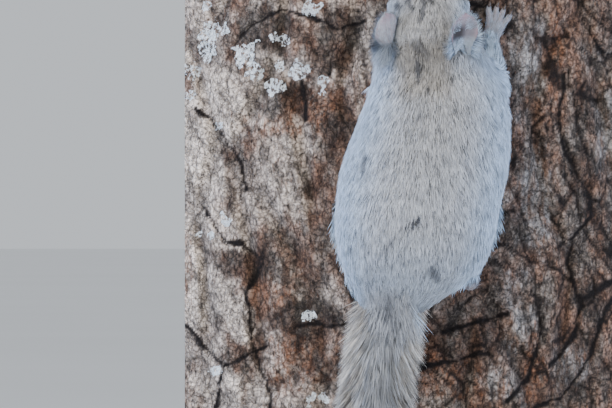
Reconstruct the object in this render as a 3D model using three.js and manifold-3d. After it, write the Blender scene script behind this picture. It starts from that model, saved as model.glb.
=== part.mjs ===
// A Siberian flying squirrel at life size, clinging head up to a cut slab of trunk that a plain stand holds.
// Millimetres, +Z up. The viewer looks along +Y at the animal's back, and +X is the animal's right side.
// The origin is the middle of the base's underside.
import * as THREE from "three";
import { mergeVertices } from "three/addons/utils/BufferGeometryUtils.js";
import Module from "manifold-3d";

const wasm = await Module();
wasm.setup();

// Driving dimensions
const GAP = 0.3; // kept between touching pieces
const BASE = { width: 200, depth: 150, height: 14, corner: 12, chamfer: 1.5 };
const ROD = { radius: 4, length: 26, sides: 24, spread: 52, back: 22 };
const TRUNK = { width: 190, height: 280, faceRadius: 135, thickness: 52, faceY: -5 };
const TAIL_ROOT_Z = 155; // height of the tail's root over the floor
const HEAD_BODY = 145; // nose to tail root
const TAIL_LENGTH = 103;
const EYE_RADIUS = 5.6;
const EAR = { length: 15.8, halfWidth: 6.2, thickness: 1.2, cup: 4.8, sunk: 0.22 };

const TRUNK_BOTTOM = BASE.height + ROD.length + 2 * GAP;
const TRUNK_TOP = TRUNK_BOTTOM + TRUNK.height;

// Sections of the coat's outline, from the rump up to inside the head. up: height over the tail's root,
// side: sideways shift, half: half width, back and belly: heights over the bark, wide: height of the widest line.
const TORSO = [
  { up: -7, side: -13, half: 6, back: 11, belly: 4, wide: 7.5 },
  { up: -4, side: -12, half: 11, back: 14, belly: 3, wide: 8 },
  { up: 1, side: -9.8, half: 16.4, back: 19, belly: 2, wide: 9.5 },
  { up: 7, side: -6, half: 22.2, back: 26, belly: 1.4, wide: 11 },
  { up: 14, side: -3.2, half: 28.4, back: 33.5, belly: 1, wide: 12.5 },
  { up: 25, side: -2.3, half: 32.8, back: 40.5, belly: 0.8, wide: 13.5 },
  { up: 42, side: -0.6, half: 35, back: 44, belly: 0.8, wide: 14 },
  { up: 60, side: 2.6, half: 34.6, back: 43.5, belly: 0.8, wide: 14 },
  { up: 75, side: 5.6, half: 32, back: 41.5, belly: 1.2, wide: 14.5 },
  { up: 89, side: 7, half: 28.4, back: 38.5, belly: 2.6, wide: 15.5 },
  { up: 100, side: 5, half: 22.4, back: 36, belly: 4.5, wide: 17.5 },
  { up: 109, side: 3.2, half: 17.6, back: 34.5, belly: 6, wide: 19.5 },
  { up: 115, side: 3, half: 13, back: 30, belly: 9, wide: 20 },
];
const NECK = { low: TAIL_ROOT_Z + 93, high: TAIL_ROOT_Z + 101 };

// The head's own frame: u forward to the nose, v to the animal's right, w out of the crown.
const HEAD = { x: 3, overBark: 22.5, z: TAIL_ROOT_Z + HEAD_BODY - 34.5, roll: 8, pitch: -18 };
const SKULL = [
  { u: -17, half: 13.5, top: 11, bottom: 11 },
  { u: -12, half: 16.4, top: 14, bottom: 13 },
  { u: -5, half: 18, top: 15.8, bottom: 14 },
  { u: 2, half: 18.2, top: 16.2, bottom: 13.8 },
  { u: 9, half: 17.2, top: 15.8, bottom: 13 },
  { u: 15.5, half: 15, top: 13.8, bottom: 12 },
  { u: 21, half: 12, top: 11, bottom: 10.8 },
  { u: 26, half: 9, top: 8, bottom: 9.2 },
  { u: 30, half: 6.6, top: 5.4, bottom: 7.2 },
  { u: 32.8, half: 4, top: 3.2, bottom: 4.6 },
];
const EYE = { u: 17, v: 11.1, w: 3.4, forward: 24, up: 16 };
const LID = { ring: 5.2, tube: 0.8, stretch: 1.08 };
const WHISKER_PAD = { u: 27, v: 4.2, w: -3.2, radii: [6.4, 4.6, 4.4] };
const CHIN = { u: 21.5, w: -7.6, radii: [9, 5.4, 4.2] };
const MOUTH = { u: 32.2, w: -5.9, cornerU: 20.5, cornerV: 7.8, cornerW: -9, width: 0.8, depth: 1.1 };
// Each ear's root, the way its tip points and the way its cup opens, in the head's frame.
const EARS = {
  left: { root: [-9, -13.6, 8.2], lean: [0.66, -0.06, 0.75], opening: [0.45, -0.78, -0.45] },
  right: { root: [-9, 14.6, 8], lean: [0.66, 0.16, 0.73], opening: [-0.35, 0.62, 0.7] },
};
const NOSE = { u: 32.4, w: 0.2, radii: [2.1, 2.9, 2.1], nostrilV: 1.35, nostrilW: -0.35 };

// Limbs. A point is [x, height over the bark, z]. The upper part of each is a part of the body's coat.
const LIMBS = {
  arm_right: {
    shoulder: [14, 24, 249], elbow: [31, 12, 243], upper: [9, 8.5], wrist: [28.5, 4.6, 263], lower: [5.6, 3.3],
    tips: [32.5, 2.4, 276], palm: 6.5, toes: 4, spread: 8,
  },
  arm_left: {
    shoulder: [-4, 24, 249], elbow: [-16, 12, 243], upper: [9, 8.5], wrist: [-6.5, 4.6, 265], lower: [5.2, 3.3],
    tips: [-5.5, 2.4, 278.5], palm: 6.5, toes: 4, spread: 8,
  },
  leg_right: {
    shoulder: [13, 20, 176], elbow: [26, 13, 191], upper: [13, 11], wrist: [20.5, 4.8, 168], lower: [6, 3.6],
    tips: [26.5, 2.4, 196], palm: 20, toes: 5, spread: 9,
  },
  leg_left: {
    shoulder: [-18, 20, 176], elbow: [-28.5, 13, 191], upper: [13, 11], wrist: [-24.5, 4.8, 168], lower: [6, 3.6],
    tips: [-29.5, 2.4, 196], palm: 20, toes: 5, spread: 9,
  },
};
const TOE = { radius: 1.2, sides: 4, arch: 1.4, claw: 3.2, clawRadius: 0.7 };
const PALM = { half: 3.5, flat: 0.62, sides: 8 };

// The gliding membrane is the lower outer edge of the flanks, folded, from wrist to ankle.
const MEMBRANE = { low: 13, high: 103, inner: 0.6, knee: 0.86, kneeHeight: 7.5, height: 15 };

// The tail lies down the bark. down: distance below the root, side: sideways place, half: half width of the coat.
const TAIL = [
  { down: -6, side: -12, half: 14 },
  { down: 6, side: -14.4, half: 15.2 },
  { down: 28, side: -17.4, half: 16.8 },
  { down: 50, side: -20.4, half: 17.6 },
  { down: 72, side: -22.4, half: 16.6 },
  { down: 90, side: -23.2, half: 11 },
  { down: TAIL_LENGTH, side: -23.4, half: 4 },
];
const TAIL_CORE = { half: 7, thick: 4.2, tip: 2.4, overBark: 7.2, end: 16 };
const TAIL_LOCK = { tiers: 8, thick: 2, width: 8.4, sideAngle: 36, rootAngle: 62, topAngle: 9, topLength: 24 };
const AROUND = [0, 50, 84, 118, 180]; // where the locks grow: 0 is the upper side, 90 the edges
const SEED = 20261;

// Bark: cracks between long plates, cut into the face's smooth envelope.
const BARK = { columns: 36, rows: 21, plateWidth: 25, plateHeight: 64, crack: 0.34, depth: 3.6, wave: 1.4 };
const REST = { inset: 3, fade: 12, share: 0.16, handReach: 13 };

const MATERIALS = {
  fur: new THREE.MeshStandardMaterial({ color: 0xa9aeb1, roughness: 0.95, metalness: 0 }),
  membrane: new THREE.MeshStandardMaterial({ color: 0xb4bfc8, roughness: 0.95, metalness: 0 }),
  ear: new THREE.MeshStandardMaterial({ color: 0x9d9696, roughness: 0.8, metalness: 0 }),
  foot: new THREE.MeshStandardMaterial({ color: 0xa79f9b, roughness: 0.85, metalness: 0 }),
  nose: new THREE.MeshStandardMaterial({ color: 0x8b7472, roughness: 0.5, metalness: 0 }),
  eye: new THREE.MeshStandardMaterial({ color: 0x0b0a0b, roughness: 0.05, metalness: 0 }),
  bark: new THREE.MeshStandardMaterial({ color: 0x5e504a, roughness: 0.95, metalness: 0 }),
  base: new THREE.MeshStandardMaterial({ color: 0x3b2a20, roughness: 0.5, metalness: 0 }),
  steel: new THREE.MeshStandardMaterial({ color: 0x8f9194, roughness: 0.3, metalness: 1 }),
};

const rad = THREE.MathUtils.degToRad;
const { clamp, lerp, smoothstep } = THREE.MathUtils;

// One smooth curve through every named size of a list of stations.
function through(stations, key) {
  const names = Object.keys(stations[0]).filter((n) => n !== key);
  const at = stations.map((s) => s[key]);
  const values = stations.flatMap((s) => names.map((n) => s[n]));
  const curve = new THREE.CubicInterpolant(at, values, names.length);
  return (t) => {
    const found = curve.evaluate(clamp(t, at[0], at[at.length - 1]));
    return Object.fromEntries(names.map((n, i) => [n, found[i]]));
  };
}

// The y of the bark's smooth envelope at x, and the point at a height over it.
const faceY = (x) => TRUNK.faceY + TRUNK.faceRadius - Math.sqrt(TRUNK.faceRadius ** 2 - x * x);
const over = (x, height, z) => new THREE.Vector3(x, faceY(x) - height, z);

// A closed geometry through rings of equally many points, with a fan over each end.
function loft(rings) {
  const sides = rings[0].length;
  const points = rings.flat();
  const index = [];
  for (let r = 0; r + 1 < rings.length; r++)
    for (let i = 0; i < sides; i++) {
      const a = r * sides + i;
      const b = r * sides + ((i + 1) % sides);
      index.push(a, b, a + sides, b, b + sides, a + sides);
    }
  [0, rings.length - 1].forEach((r) => {
    const middle = rings[r].reduce((sum, p) => sum.add(p), new THREE.Vector3()).divideScalar(sides);
    points.push(middle);
    for (let i = 0; i < sides; i++) {
      const a = r * sides + i;
      const b = r * sides + ((i + 1) % sides);
      index.push(...(r ? [a, b, points.length - 1] : [b, a, points.length - 1]));
    }
  });
  return new THREE.BufferGeometry().setFromPoints(points).setIndex(index);
}

// A three.js geometry as a solid that can be joined and cut, with its faces turned out.
function solid(geometry) {
  const bare = geometry.clone();
  bare.deleteAttribute("normal");
  bare.deleteAttribute("uv");
  const merged = mergeVertices(bare, 1e-4);
  const build = (order) =>
    new wasm.Manifold(
      new wasm.Mesh({ numProp: 3, vertProperties: merged.attributes.position.array, triVerts: order }),
    );
  const order = new Uint32Array(merged.index.array);
  const made = build(order);
  if (made.volume() > 0) return made;
  for (let i = 0; i < order.length; i += 3) [order[i + 1], order[i + 2]] = [order[i + 2], order[i + 1]];
  return build(order);
}

const join = (...parts) => wasm.Manifold.union(parts.flat(3));
const without = (body, ...cutters) => cutters.flat().reduce((left, cutter) => left.subtract(cutter), body);

function largest(body) {
  return body.decompose().reduce((best, piece) => (piece.volume() > best.volume() ? piece : best));
}

function piece(name, body, material) {
  const { vertProperties, triVerts, numProp } = largest(body).getMesh();
  const positions = new Float32Array((vertProperties.length / numProp) * 3);
  for (let i = 0; i < positions.length / 3; i++)
    positions.set(vertProperties.subarray(i * numProp, i * numProp + 3), i * 3);
  const geometry = new THREE.BufferGeometry()
    .setAttribute("position", new THREE.BufferAttribute(positions, 3))
    .setIndex(new THREE.BufferAttribute(triVerts, 1));
  geometry.computeVertexNormals();
  const mesh = new THREE.Mesh(geometry, material);
  mesh.name = name;
  return mesh;
}

function ellipsoid([a, b, c], centre, turn, around = 16, along = 10) {
  const geometry = new THREE.SphereGeometry(1, around, along).scale(a, b, c);
  return solid(geometry.applyQuaternion(turn ?? new THREE.Quaternion()).translate(centre.x, centre.y, centre.z));
}

function block(low, high) {
  const size = new THREE.Vector3().subVectors(high, low);
  const middle = new THREE.Vector3().addVectors(low, high).divideScalar(2);
  return solid(new THREE.BoxGeometry(size.x, size.y, size.z).translate(middle.x, middle.y, middle.z));
}

// A round or flattened limb along a path. outward is the way its thickness points, caps are the angles of the
// rings that round each end off.
function limb(path, radii, { flat = 1, sides = 12, steps = 5, outward = [0, -1, 0], grow = 0, caps = [75, 40] }) {
  const curve = new THREE.CatmullRomCurve3(path);
  const radiusAt = (t) => {
    const place = t * (radii.length - 1);
    const i = Math.min(Math.floor(place), radii.length - 2);
    return lerp(radii[i], radii[i + 1], smoothstep(place - i, 0, 1)) + grow;
  };
  const ring = (t, along, share) => {
    const tangent = curve.getTangent(t);
    const up = new THREE.Vector3(...outward);
    up.addScaledVector(tangent, -up.dot(tangent)).normalize();
    const side = new THREE.Vector3().crossVectors(tangent, up);
    const radius = radiusAt(t);
    const middle = curve.getPoint(t).addScaledVector(tangent, along * radius);
    return Array.from({ length: sides }, (_, i) => {
      const angle = (2 * Math.PI * i) / sides;
      return middle
        .clone()
        .addScaledVector(side, radius * share * Math.cos(angle))
        .addScaledVector(up, radius * share * flat * Math.sin(angle));
    });
  };
  const start = caps.map((a) => ring(0, -Math.sin(rad(a)), Math.cos(rad(a))));
  const end = caps.map((a) => ring(1, Math.sin(rad(a)), Math.cos(rad(a)))).reverse();
  const middle = Array.from({ length: steps + 1 }, (_, i) => ring(i / steps, 0, 1));
  return solid(loft([...start, ...middle, ...end]));
}

// A flat, tapered lock that bends as it runs from its root to its point.
function lock(root, heading, bend, flatNormal, length, width, thick) {
  const stops = [0, 0.34, 0.7];
  const widths = [0.62, 1, 0.66];
  const at = (t) =>
    root.clone().addScaledVector(heading, length * t).addScaledVector(bend, length * t * t);
  const side = new THREE.Vector3().crossVectors(heading, flatNormal).normalize();
  const rings = stops.map((t, i) =>
    [[1, 0], [0, 1], [-1, 0], [0, -1]].map(([s, n]) =>
      at(t)
        .addScaledVector(side, (s * width * widths[i]) / 2)
        .addScaledVector(flatNormal, (n * thick * widths[i]) / 2),
    ),
  );
  const sides = rings[0].length;
  const points = [...rings.flat(), at(1), at(0)];
  const index = [];
  for (let i = 0; i < sides; i++) {
    const next = (i + 1) % sides;
    for (let r = 0; r + 1 < rings.length; r++) {
      const [a, b] = [r * sides + i, r * sides + next];
      index.push(a, b, a + sides, b, b + sides, a + sides);
    }
    const last = (rings.length - 1) * sides;
    index.push(last + i, last + next, points.length - 2);
    index.push(next, i, points.length - 1);
  }
  return solid(new THREE.BufferGeometry().setFromPoints(points).setIndex(index));
}

// A repeatable stream of numbers from 0 to 1.
function seeded(seed) {
  let state = seed;
  return () => {
    state = (state * 16807) % 2147483647;
    return state / 2147483647;
  };
}

// Torso
const torsoAt = through(TORSO, "up");

function torsoRing(up, grow, sides) {
  const s = torsoAt(up);
  const [backPower, bellyPower] = [2.15, 3.4];
  return Array.from({ length: sides }, (_, i) => {
    const angle = (2 * Math.PI * i) / sides;
    const [cos, sin] = [Math.cos(angle), Math.sin(angle)];
    const power = 2 / (sin > 0 ? backPower : bellyPower);
    const reach = sin > 0 ? s.back - s.wide : s.wide - s.belly;
    const x = s.side + (s.half + grow) * Math.sign(cos) * Math.abs(cos) ** power;
    return over(x, s.wide + (reach + grow) * Math.sign(sin) * Math.abs(sin) ** power, TAIL_ROOT_Z + up);
  });
}

function torsoForm(grow = 0, sides = 26, rows = 15) {
  const [first, last] = [TORSO[0].up, TORSO[TORSO.length - 1].up];
  const rings = Array.from({ length: rows + 1 }, (_, i) => torsoRing(lerp(first, last, i / rows), grow, sides));
  return solid(loft(rings));
}

// Head
const headTurn = new THREE.Matrix4();
{
  const [roll, pitch] = [rad(HEAD.roll), rad(HEAD.pitch)];
  const right = new THREE.Vector3(Math.cos(roll), -Math.sin(roll), 0);
  const crown = new THREE.Vector3(-Math.sin(roll), -Math.cos(roll), 0);
  const nose = new THREE.Vector3(0, 0, 1);
  const forward = nose.clone().multiplyScalar(Math.cos(pitch)).addScaledVector(crown, Math.sin(pitch));
  const up = crown.clone().multiplyScalar(Math.cos(pitch)).addScaledVector(nose, -Math.sin(pitch));
  headTurn.makeBasis(forward, right, up).setPosition(over(HEAD.x, HEAD.overBark, HEAD.z));
}
const inHead = (u, v, w) => new THREE.Vector3(u, v, w).applyMatrix4(headTurn);
const headDirection = (u, v, w) => new THREE.Vector3(u, v, w).transformDirection(headTurn);
const headQuaternion = new THREE.Quaternion().setFromRotationMatrix(headTurn);
const skullAt = through(SKULL, "u");

function skullForm(grow = 0, sides = 26, rows = 15) {
  const [first, last] = [SKULL[0].u, SKULL[SKULL.length - 1].u];
  const rings = Array.from({ length: rows + 1 }, (_, r) => {
    const u = lerp(first, last, r / rows);
    const s = skullAt(u);
    return Array.from({ length: sides }, (_, i) => {
      const angle = (2 * Math.PI * i) / sides;
      const v = (s.half + grow) * Math.cos(angle);
      const reach = Math.sin(angle) > 0 ? s.top : s.bottom;
      return inHead(u, v, (reach + grow) * Math.sin(angle));
    });
  });
  return solid(loft(rings));
}

const eyeAxis = (side) => {
  const [forward, up] = [rad(EYE.forward), rad(EYE.up)];
  return new THREE.Vector3(
    Math.sin(forward) * Math.cos(up), side * Math.cos(forward) * Math.cos(up), Math.sin(up),
  );
};
const eyeball = (side, grow = 0) =>
  ellipsoid(Array(3).fill(EYE_RADIUS + grow), inHead(EYE.u, side * EYE.v, EYE.w), headQuaternion, 14, 9);

// The lids are one soft ring that lies on the eyeball with a gap.
function lids(side) {
  const axis = eyeAxis(side);
  const reach = EYE_RADIUS + GAP + LID.tube;
  const along = Math.sqrt(reach ** 2 - LID.ring ** 2);
  const ring = new THREE.TorusGeometry(LID.ring, LID.tube, 6, 20).scale(LID.stretch, 1, 1);
  const forward = new THREE.Vector3(1, 0, 0);
  const across = new THREE.Vector3().crossVectors(axis, forward).normalize();
  const along3 = new THREE.Vector3().crossVectors(across, axis).normalize();
  ring.applyMatrix4(new THREE.Matrix4().makeBasis(along3, across, axis));
  const centre = new THREE.Vector3(EYE.u, side * EYE.v, EYE.w).addScaledVector(axis, along);
  return solid(ring.translate(centre.x, centre.y, centre.z).applyMatrix4(headTurn));
}

function mouthCut() {
  const path = [-1, -0.55, 0, 0.55, 1].map((share) => {
    const bow = 1 - Math.abs(share) ** 1.6;
    return inHead(
      lerp(MOUTH.cornerU, MOUTH.u, bow), MOUTH.cornerV * share, lerp(MOUTH.cornerW, MOUTH.w, bow),
    );
  });
  const crown = headDirection(0, 0, 1).toArray();
  return limb(path, [MOUTH.depth, MOUTH.depth * 1.3, MOUTH.depth], {
    flat: MOUTH.width / MOUTH.depth / 2, sides: 4, steps: 10, outward: crown, caps: [],
  });
}

const noseForm = (grow = 0) =>
  ellipsoid(NOSE.radii.map((r) => r + grow), inHead(NOSE.u, 0, NOSE.w), headQuaternion, 10, 7);

function nostril(side) {
  const at = inHead(NOSE.u + NOSE.radii[0] * 0.72, side * NOSE.nostrilV, NOSE.w + NOSE.nostrilW);
  return ellipsoid([1.2, 0.75, 0.42], at, headQuaternion, 6, 4);
}

function headForm() {
  const pads = [-1, 1].map((side) =>
    ellipsoid(
      WHISKER_PAD.radii, inHead(WHISKER_PAD.u, side * WHISKER_PAD.v, WHISKER_PAD.w), headQuaternion, 14, 8,
    ));
  const chin = ellipsoid(CHIN.radii, inHead(CHIN.u, 0, CHIN.w), headQuaternion, 14, 8);
  return join(skullForm(), pads, chin, lids(1), lids(-1));
}

// An ear is a cup: a curved leaf of even thickness, rooted in the head.
function ear({ root, lean, opening }) {
  const up = new THREE.Vector3(...lean).normalize();
  const out = new THREE.Vector3(...opening);
  out.addScaledVector(up, -out.dot(up)).normalize();
  const across = new THREE.Vector3().crossVectors(up, out);
  const [tiers, columns] = [8, 8];
  const widthAt = (t) => {
    const tip = clamp((t - 0.4) / 0.6, 0, 1) ** 2.4;
    return Math.max(EAR.halfWidth * lerp(0.62, 1, smoothstep(t, -0.1, 0.45)) * Math.sqrt(1 - tip), 0.7);
  };
  const face = (t, q, thick) => {
    const width = widthAt(t);
    const cup = EAR.cup * lerp(1.15, 0.3, t) * (width / EAR.halfWidth);
    const p = new THREE.Vector3(...root)
      .addScaledVector(up, EAR.length * t)
      .addScaledVector(across, (width * Math.sin(q * 1.35)) / Math.sin(1.35))
      .addScaledVector(out, cup * (0.7 - Math.cos(q * 1.25)) + thick);
    return inHead(p.x, p.y, p.z);
  };
  const rings = Array.from({ length: tiers + 1 }, (_, r) => {
    const t = lerp(-EAR.sunk, 1, r / tiers);
    const share = Array.from({ length: columns + 1 }, (_, i) => lerp(-1, 1, i / columns));
    const half = EAR.thickness / 2;
    return [...share.map((q) => face(t, q, half)), ...share.reverse().map((q) => face(t, q, -half))];
  });
  return without(solid(loft(rings)), skullForm(GAP), torsoForm(GAP));
}

// Hands and feet lie on the bark: a palm, toes that spread and arch, and a claw on each.
function paw({ wrist, tips, palm, toes, lower, spread }, grow = 0) {
  const start = new THREE.Vector3(...wrist);
  const heading = new THREE.Vector3(tips[0] - wrist[0], 0, tips[2] - wrist[2]);
  const reach = heading.length();
  heading.normalize();
  const across = new THREE.Vector3(heading.z, 0, -heading.x);
  const place = (along, aside, height) => {
    const flat = start.clone().addScaledVector(heading, along).addScaledVector(across, aside);
    return over(flat.x, height, flat.z);
  };
  const sole = PALM.half * PALM.flat;
  const pad = limb(
    [place(-1, 0, wrist[1]), place(palm / 2, 0, sole + 0.9), place(palm, 0, sole + 0.2)],
    [lower[1], PALM.half * 0.94, PALM.half * 1.1], { flat: PALM.flat, sides: PALM.sides, steps: 3, grow, caps: [50] },
  );
  const digits = Array.from({ length: toes }, (_, i) => {
    const share = i / (toes - 1) - 0.5;
    const aside = spread * share;
    const from = palm - 0.5 - 4 * Math.abs(share) ** 1.5;
    const to = lerp(palm, reach, 1 - 0.55 * Math.abs(share + 0.08) ** 1.5);
    const path = [
      place(from - 1.5, aside * 0.52, 2), place(lerp(from, to, 0.5), aside * 0.82, 2 + TOE.arch),
      place(to, aside * 1.12, TOE.radius + 0.4),
    ];
    const toe = limb(path, [TOE.radius * 1.1, TOE.radius], { sides: TOE.sides, steps: 2, grow, caps: [50] });
    const hook = [
      place(to, aside * 1.12, 1.8), place(to + TOE.claw * 0.6, aside * 1.16, 1.9),
      place(to + TOE.claw, aside * 1.18, 0.6),
    ];
    const claw = limb(hook, [TOE.clawRadius, 0.25], { sides: 4, steps: 2, grow, caps: [] });
    return [toe, claw];
  });
  return join(pad, digits);
}

// The room that a hand or foot takes up under the coat.
function pawRoom({ wrist, tips, lower, spread }) {
  const stops = [-0.2, 0.1, 0.5, 1.08].map((t) => {
    const [x, z] = [lerp(wrist[0], tips[0], t), lerp(wrist[2], tips[2], t)];
    return over(x, lerp(wrist[1], tips[1], clamp(t * 2, 0, 1)), z);
  });
  const halves = [lower[1] + 1, lower[1] + 1.2, PALM.half + 1.8, spread * 0.8];
  return limb(stops, halves, { flat: 0.78, sides: 8, steps: 3, caps: [] });
}

const upperLimb = ({ shoulder, elbow, upper }, grow = 0) =>
  limb([over(...shoulder), over(...elbow)], upper, { sides: 10, steps: 1, grow, caps: [55] });
const lowerLimb = ({ elbow, wrist, lower }, grow = 0) =>
  limb([over(...elbow), over(...wrist)], lower, { sides: 8, steps: 2, grow, caps: [55] });

// The cutter that parts a flank's membrane from the torso. shift widens it by the gap.
function membraneRegion(side, shift = 0) {
  const rows = 10;
  const rings = Array.from({ length: rows + 1 }, (_, r) => {
    const up = lerp(MEMBRANE.low - shift, MEMBRANE.high + shift, r / rows);
    const s = torsoAt(up);
    const ends = Math.sin((Math.PI * (r + 0.6)) / (rows + 1.2)) ** 0.4;
    const height = MEMBRANE.height * ends;
    const at = (share, h) => over(s.side + side * (s.half * share), h, TAIL_ROOT_Z + up);
    const inner = lerp(0.95, MEMBRANE.inner, ends);
    return [
      at(inner - shift / s.half, -4),
      at(lerp(inner, MEMBRANE.knee, 0.9) - shift / s.half, MEMBRANE.kneeHeight * ends + shift),
      at(1.3, height + shift * 1.4),
      at(1.3, -4),
    ];
  });
  return solid(loft(rings));
}

// Tail
const tailAt = through(TAIL, "down");
const tailPoint = (down, height) => over(tailAt(down).side, height, TAIL_ROOT_Z - down);

function tailForm() {
  const random = seeded(SEED);
  const coreEnd = TAIL_LENGTH - TAIL_CORE.end;
  const stops = Array.from({ length: 7 }, (_, i) => lerp(TAIL[0].down - 2, coreEnd, i / 6));
  const core = limb(
    stops.map((down) => tailPoint(down, TAIL_CORE.overBark)),
    [TAIL_CORE.half, TAIL_CORE.half, TAIL_CORE.half * 0.85, TAIL_CORE.tip],
    { flat: TAIL_CORE.thick / TAIL_CORE.half, sides: 8, steps: 8, caps: [50] },
  );
  const locks = [];
  for (let tier = 0; tier < TAIL_LOCK.tiers; tier++)
    AROUND.forEach((angle, row) => {
      const [cos, edge] = [Math.cos(rad(angle)), Math.sin(rad(angle))];
      for (const side of edge > 0.01 ? [-1, 1] : [0]) {
        const share = (tier + (row % 2 ? 0.5 : 0) + 0.25 * (random() - 0.5)) / (TAIL_LOCK.tiers - 0.5);
        const down = lerp(-3, coreEnd, clamp(share, 0, 1));
        const taper = lerp(1, 0.45, clamp((down - 25) / (coreEnd - 25), 0, 1));
        const rootHalf = TAIL_CORE.half * taper * 0.6;
        const root = tailPoint(down, TAIL_CORE.overBark + cos * TAIL_CORE.thick * taper * 0.45);
        root.x += side * edge * rootHalf;
        const sideAngle = lerp(TAIL_LOCK.rootAngle, TAIL_LOCK.sideAngle, smoothstep(down, -3, 18));
        const splay = rad(lerp(TAIL_LOCK.topAngle, sideAngle, edge ** 2));
        const toEdge = (tailAt(down + 12).half - rootHalf) / Math.sin(splay);
        const full = lerp(TAIL_LOCK.topLength, Math.min(toEdge, TAIL_LOCK.topLength), edge ** 2);
        const length = Math.min(full * lerp(0.92, 1.08, random()), TAIL_LENGTH + 1 - down);
        const heading = new THREE.Vector3(side * edge * Math.sin(splay), -cos * 0.17, -Math.cos(splay)).normalize();
        const bend = new THREE.Vector3(-side * edge * 0.14, cos * 0.1, -0.05);
        const flatNormal = new THREE.Vector3(side * edge * 0.35, -(cos < -0.3 ? -1 : 1), 0);
        flatNormal.addScaledVector(heading, -flatNormal.dot(heading)).normalize();
        const width = TAIL_LOCK.width * lerp(0.85, 1.15, random());
        locks.push(lock(root, heading, bend, flatNormal, length, width, TAIL_LOCK.thick));
      }
    });
  return join(core, locks);
}

// Bark
// A repeatable pair of numbers from 0 to 1 for a plate's cell.
function cellPoint(i, j) {
  const fract = (n) => n - Math.floor(n);
  return [fract(Math.sin(i * 127.1 + j * 311.7) * 43758.5453), fract(Math.sin(i * 269.5 + j * 183.3) * 43758.5453)];
}

// How far the bark's surface lies under its envelope at x, z.
function barkDepth(x, z) {
  const px = (x + 5 * Math.sin(z / 31)) / BARK.plateWidth;
  const pz = (z + 6 * Math.sin(x / 23)) / BARK.plateHeight;
  const [ci, cj] = [Math.floor(px), Math.floor(pz)];
  const near = [];
  for (let i = ci - 1; i <= ci + 1; i++)
    for (let j = cj - 1; j <= cj + 1; j++) {
      const [dx, dz] = cellPoint(i, j);
      near.push(Math.hypot(i + dx - px, j + dz - pz));
    }
  near.sort((a, b) => a - b);
  const crack = 1 - smoothstep(near[1] - near[0], 0, BARK.crack);
  const wave = 0.5 + 0.25 * Math.sin(x / 9 + z / 17) + 0.25 * Math.sin(z / 8 - x / 21);
  return BARK.depth * crack + BARK.wave * wave;
}

// 1 where the animal rests on the bark, fading to 0 round it.
function resting(x, z) {
  const up = clamp(z - TAIL_ROOT_Z, TORSO[0].up, 104);
  const s = torsoAt(up);
  const beyond = Math.hypot(Math.max(Math.abs(x - s.side) - s.half + REST.inset, 0), z - TAIL_ROOT_Z - up);
  const hands = Object.values(LIMBS).map(({ tips, wrist }) =>
    Math.hypot(x - (tips[0] + wrist[0]) / 2, z - (tips[2] + wrist[2]) / 2) - REST.handReach);
  return 1 - smoothstep(Math.min(beyond, ...hands), 0, REST.fade);
}

function trunkForm() {
  const half = TRUNK.width / 2;
  const back = TRUNK.faceY + TRUNK.thickness;
  const rings = Array.from({ length: BARK.rows + 1 }, (_, r) => {
    const z = lerp(TRUNK_BOTTOM, TRUNK_TOP, r / BARK.rows);
    const front = Array.from({ length: BARK.columns + 1 }, (_, i) => {
      const x = lerp(-half, half, i / BARK.columns);
      const depth = barkDepth(x, z) * lerp(1, REST.share, resting(x, z));
      return new THREE.Vector3(x, faceY(x) + depth, z);
    });
    return [...front, new THREE.Vector3(half, back, z), new THREE.Vector3(-half, back, z)];
  });
  return solid(loft(rings));
}

// The envelope of the bark, grown by the gap, that everything lying on it is cut by.
function barkCutter() {
  const half = TRUNK.width / 2 + 5;
  const columns = 40;
  const rings = [TRUNK_BOTTOM - 5, TRUNK_TOP + 5].map((z) => {
    const front = Array.from({ length: columns + 1 }, (_, i) => {
      const x = lerp(-half, half, i / columns);
      return new THREE.Vector3(x, faceY(x) - GAP, z);
    });
    return [...front, new THREE.Vector3(half, 60, z), new THREE.Vector3(-half, 60, z)];
  });
  return solid(loft(rings));
}

// Stand
function baseForm() {
  const { width, depth, height, corner, chamfer } = BASE;
  const [w, d] = [width / 2 - chamfer, depth / 2 - chamfer];
  const plan = new THREE.Shape();
  plan.moveTo(-w + corner, -d).lineTo(w - corner, -d);
  plan.absarc(w - corner, -d + corner, corner, -Math.PI / 2, 0);
  plan.absarc(w - corner, d - corner, corner, 0, Math.PI / 2);
  plan.absarc(-w + corner, d - corner, corner, Math.PI / 2, Math.PI);
  plan.absarc(-w + corner, -d + corner, corner, Math.PI, 1.5 * Math.PI);
  const geometry = new THREE.ExtrudeGeometry(plan, {
    depth: height - 2 * chamfer, bevelSize: chamfer, bevelThickness: chamfer, bevelSegments: 1, curveSegments: 4,
  });
  return solid(geometry.translate(0, 0, chamfer));
}

function rodForm(side) {
  const geometry = new THREE.CylinderGeometry(ROD.radius, ROD.radius, ROD.length, ROD.sides);
  geometry.rotateX(Math.PI / 2);
  return solid(geometry.translate((side * ROD.spread) / 2, ROD.back, BASE.height + GAP + ROD.length / 2));
}

// The whole animal, parted into its nodes. What lies over a hand, a foot or a lower limb is cut to fit it.
const squirrel = new THREE.Group();
const bark = barkCutter();
const membranes = { left: -1, right: 1 };
const limbs = Object.entries(LIMBS);
const under = join(limbs.map(([, plan]) => [pawRoom(plan), lowerLimb(plan, GAP)]));

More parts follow.
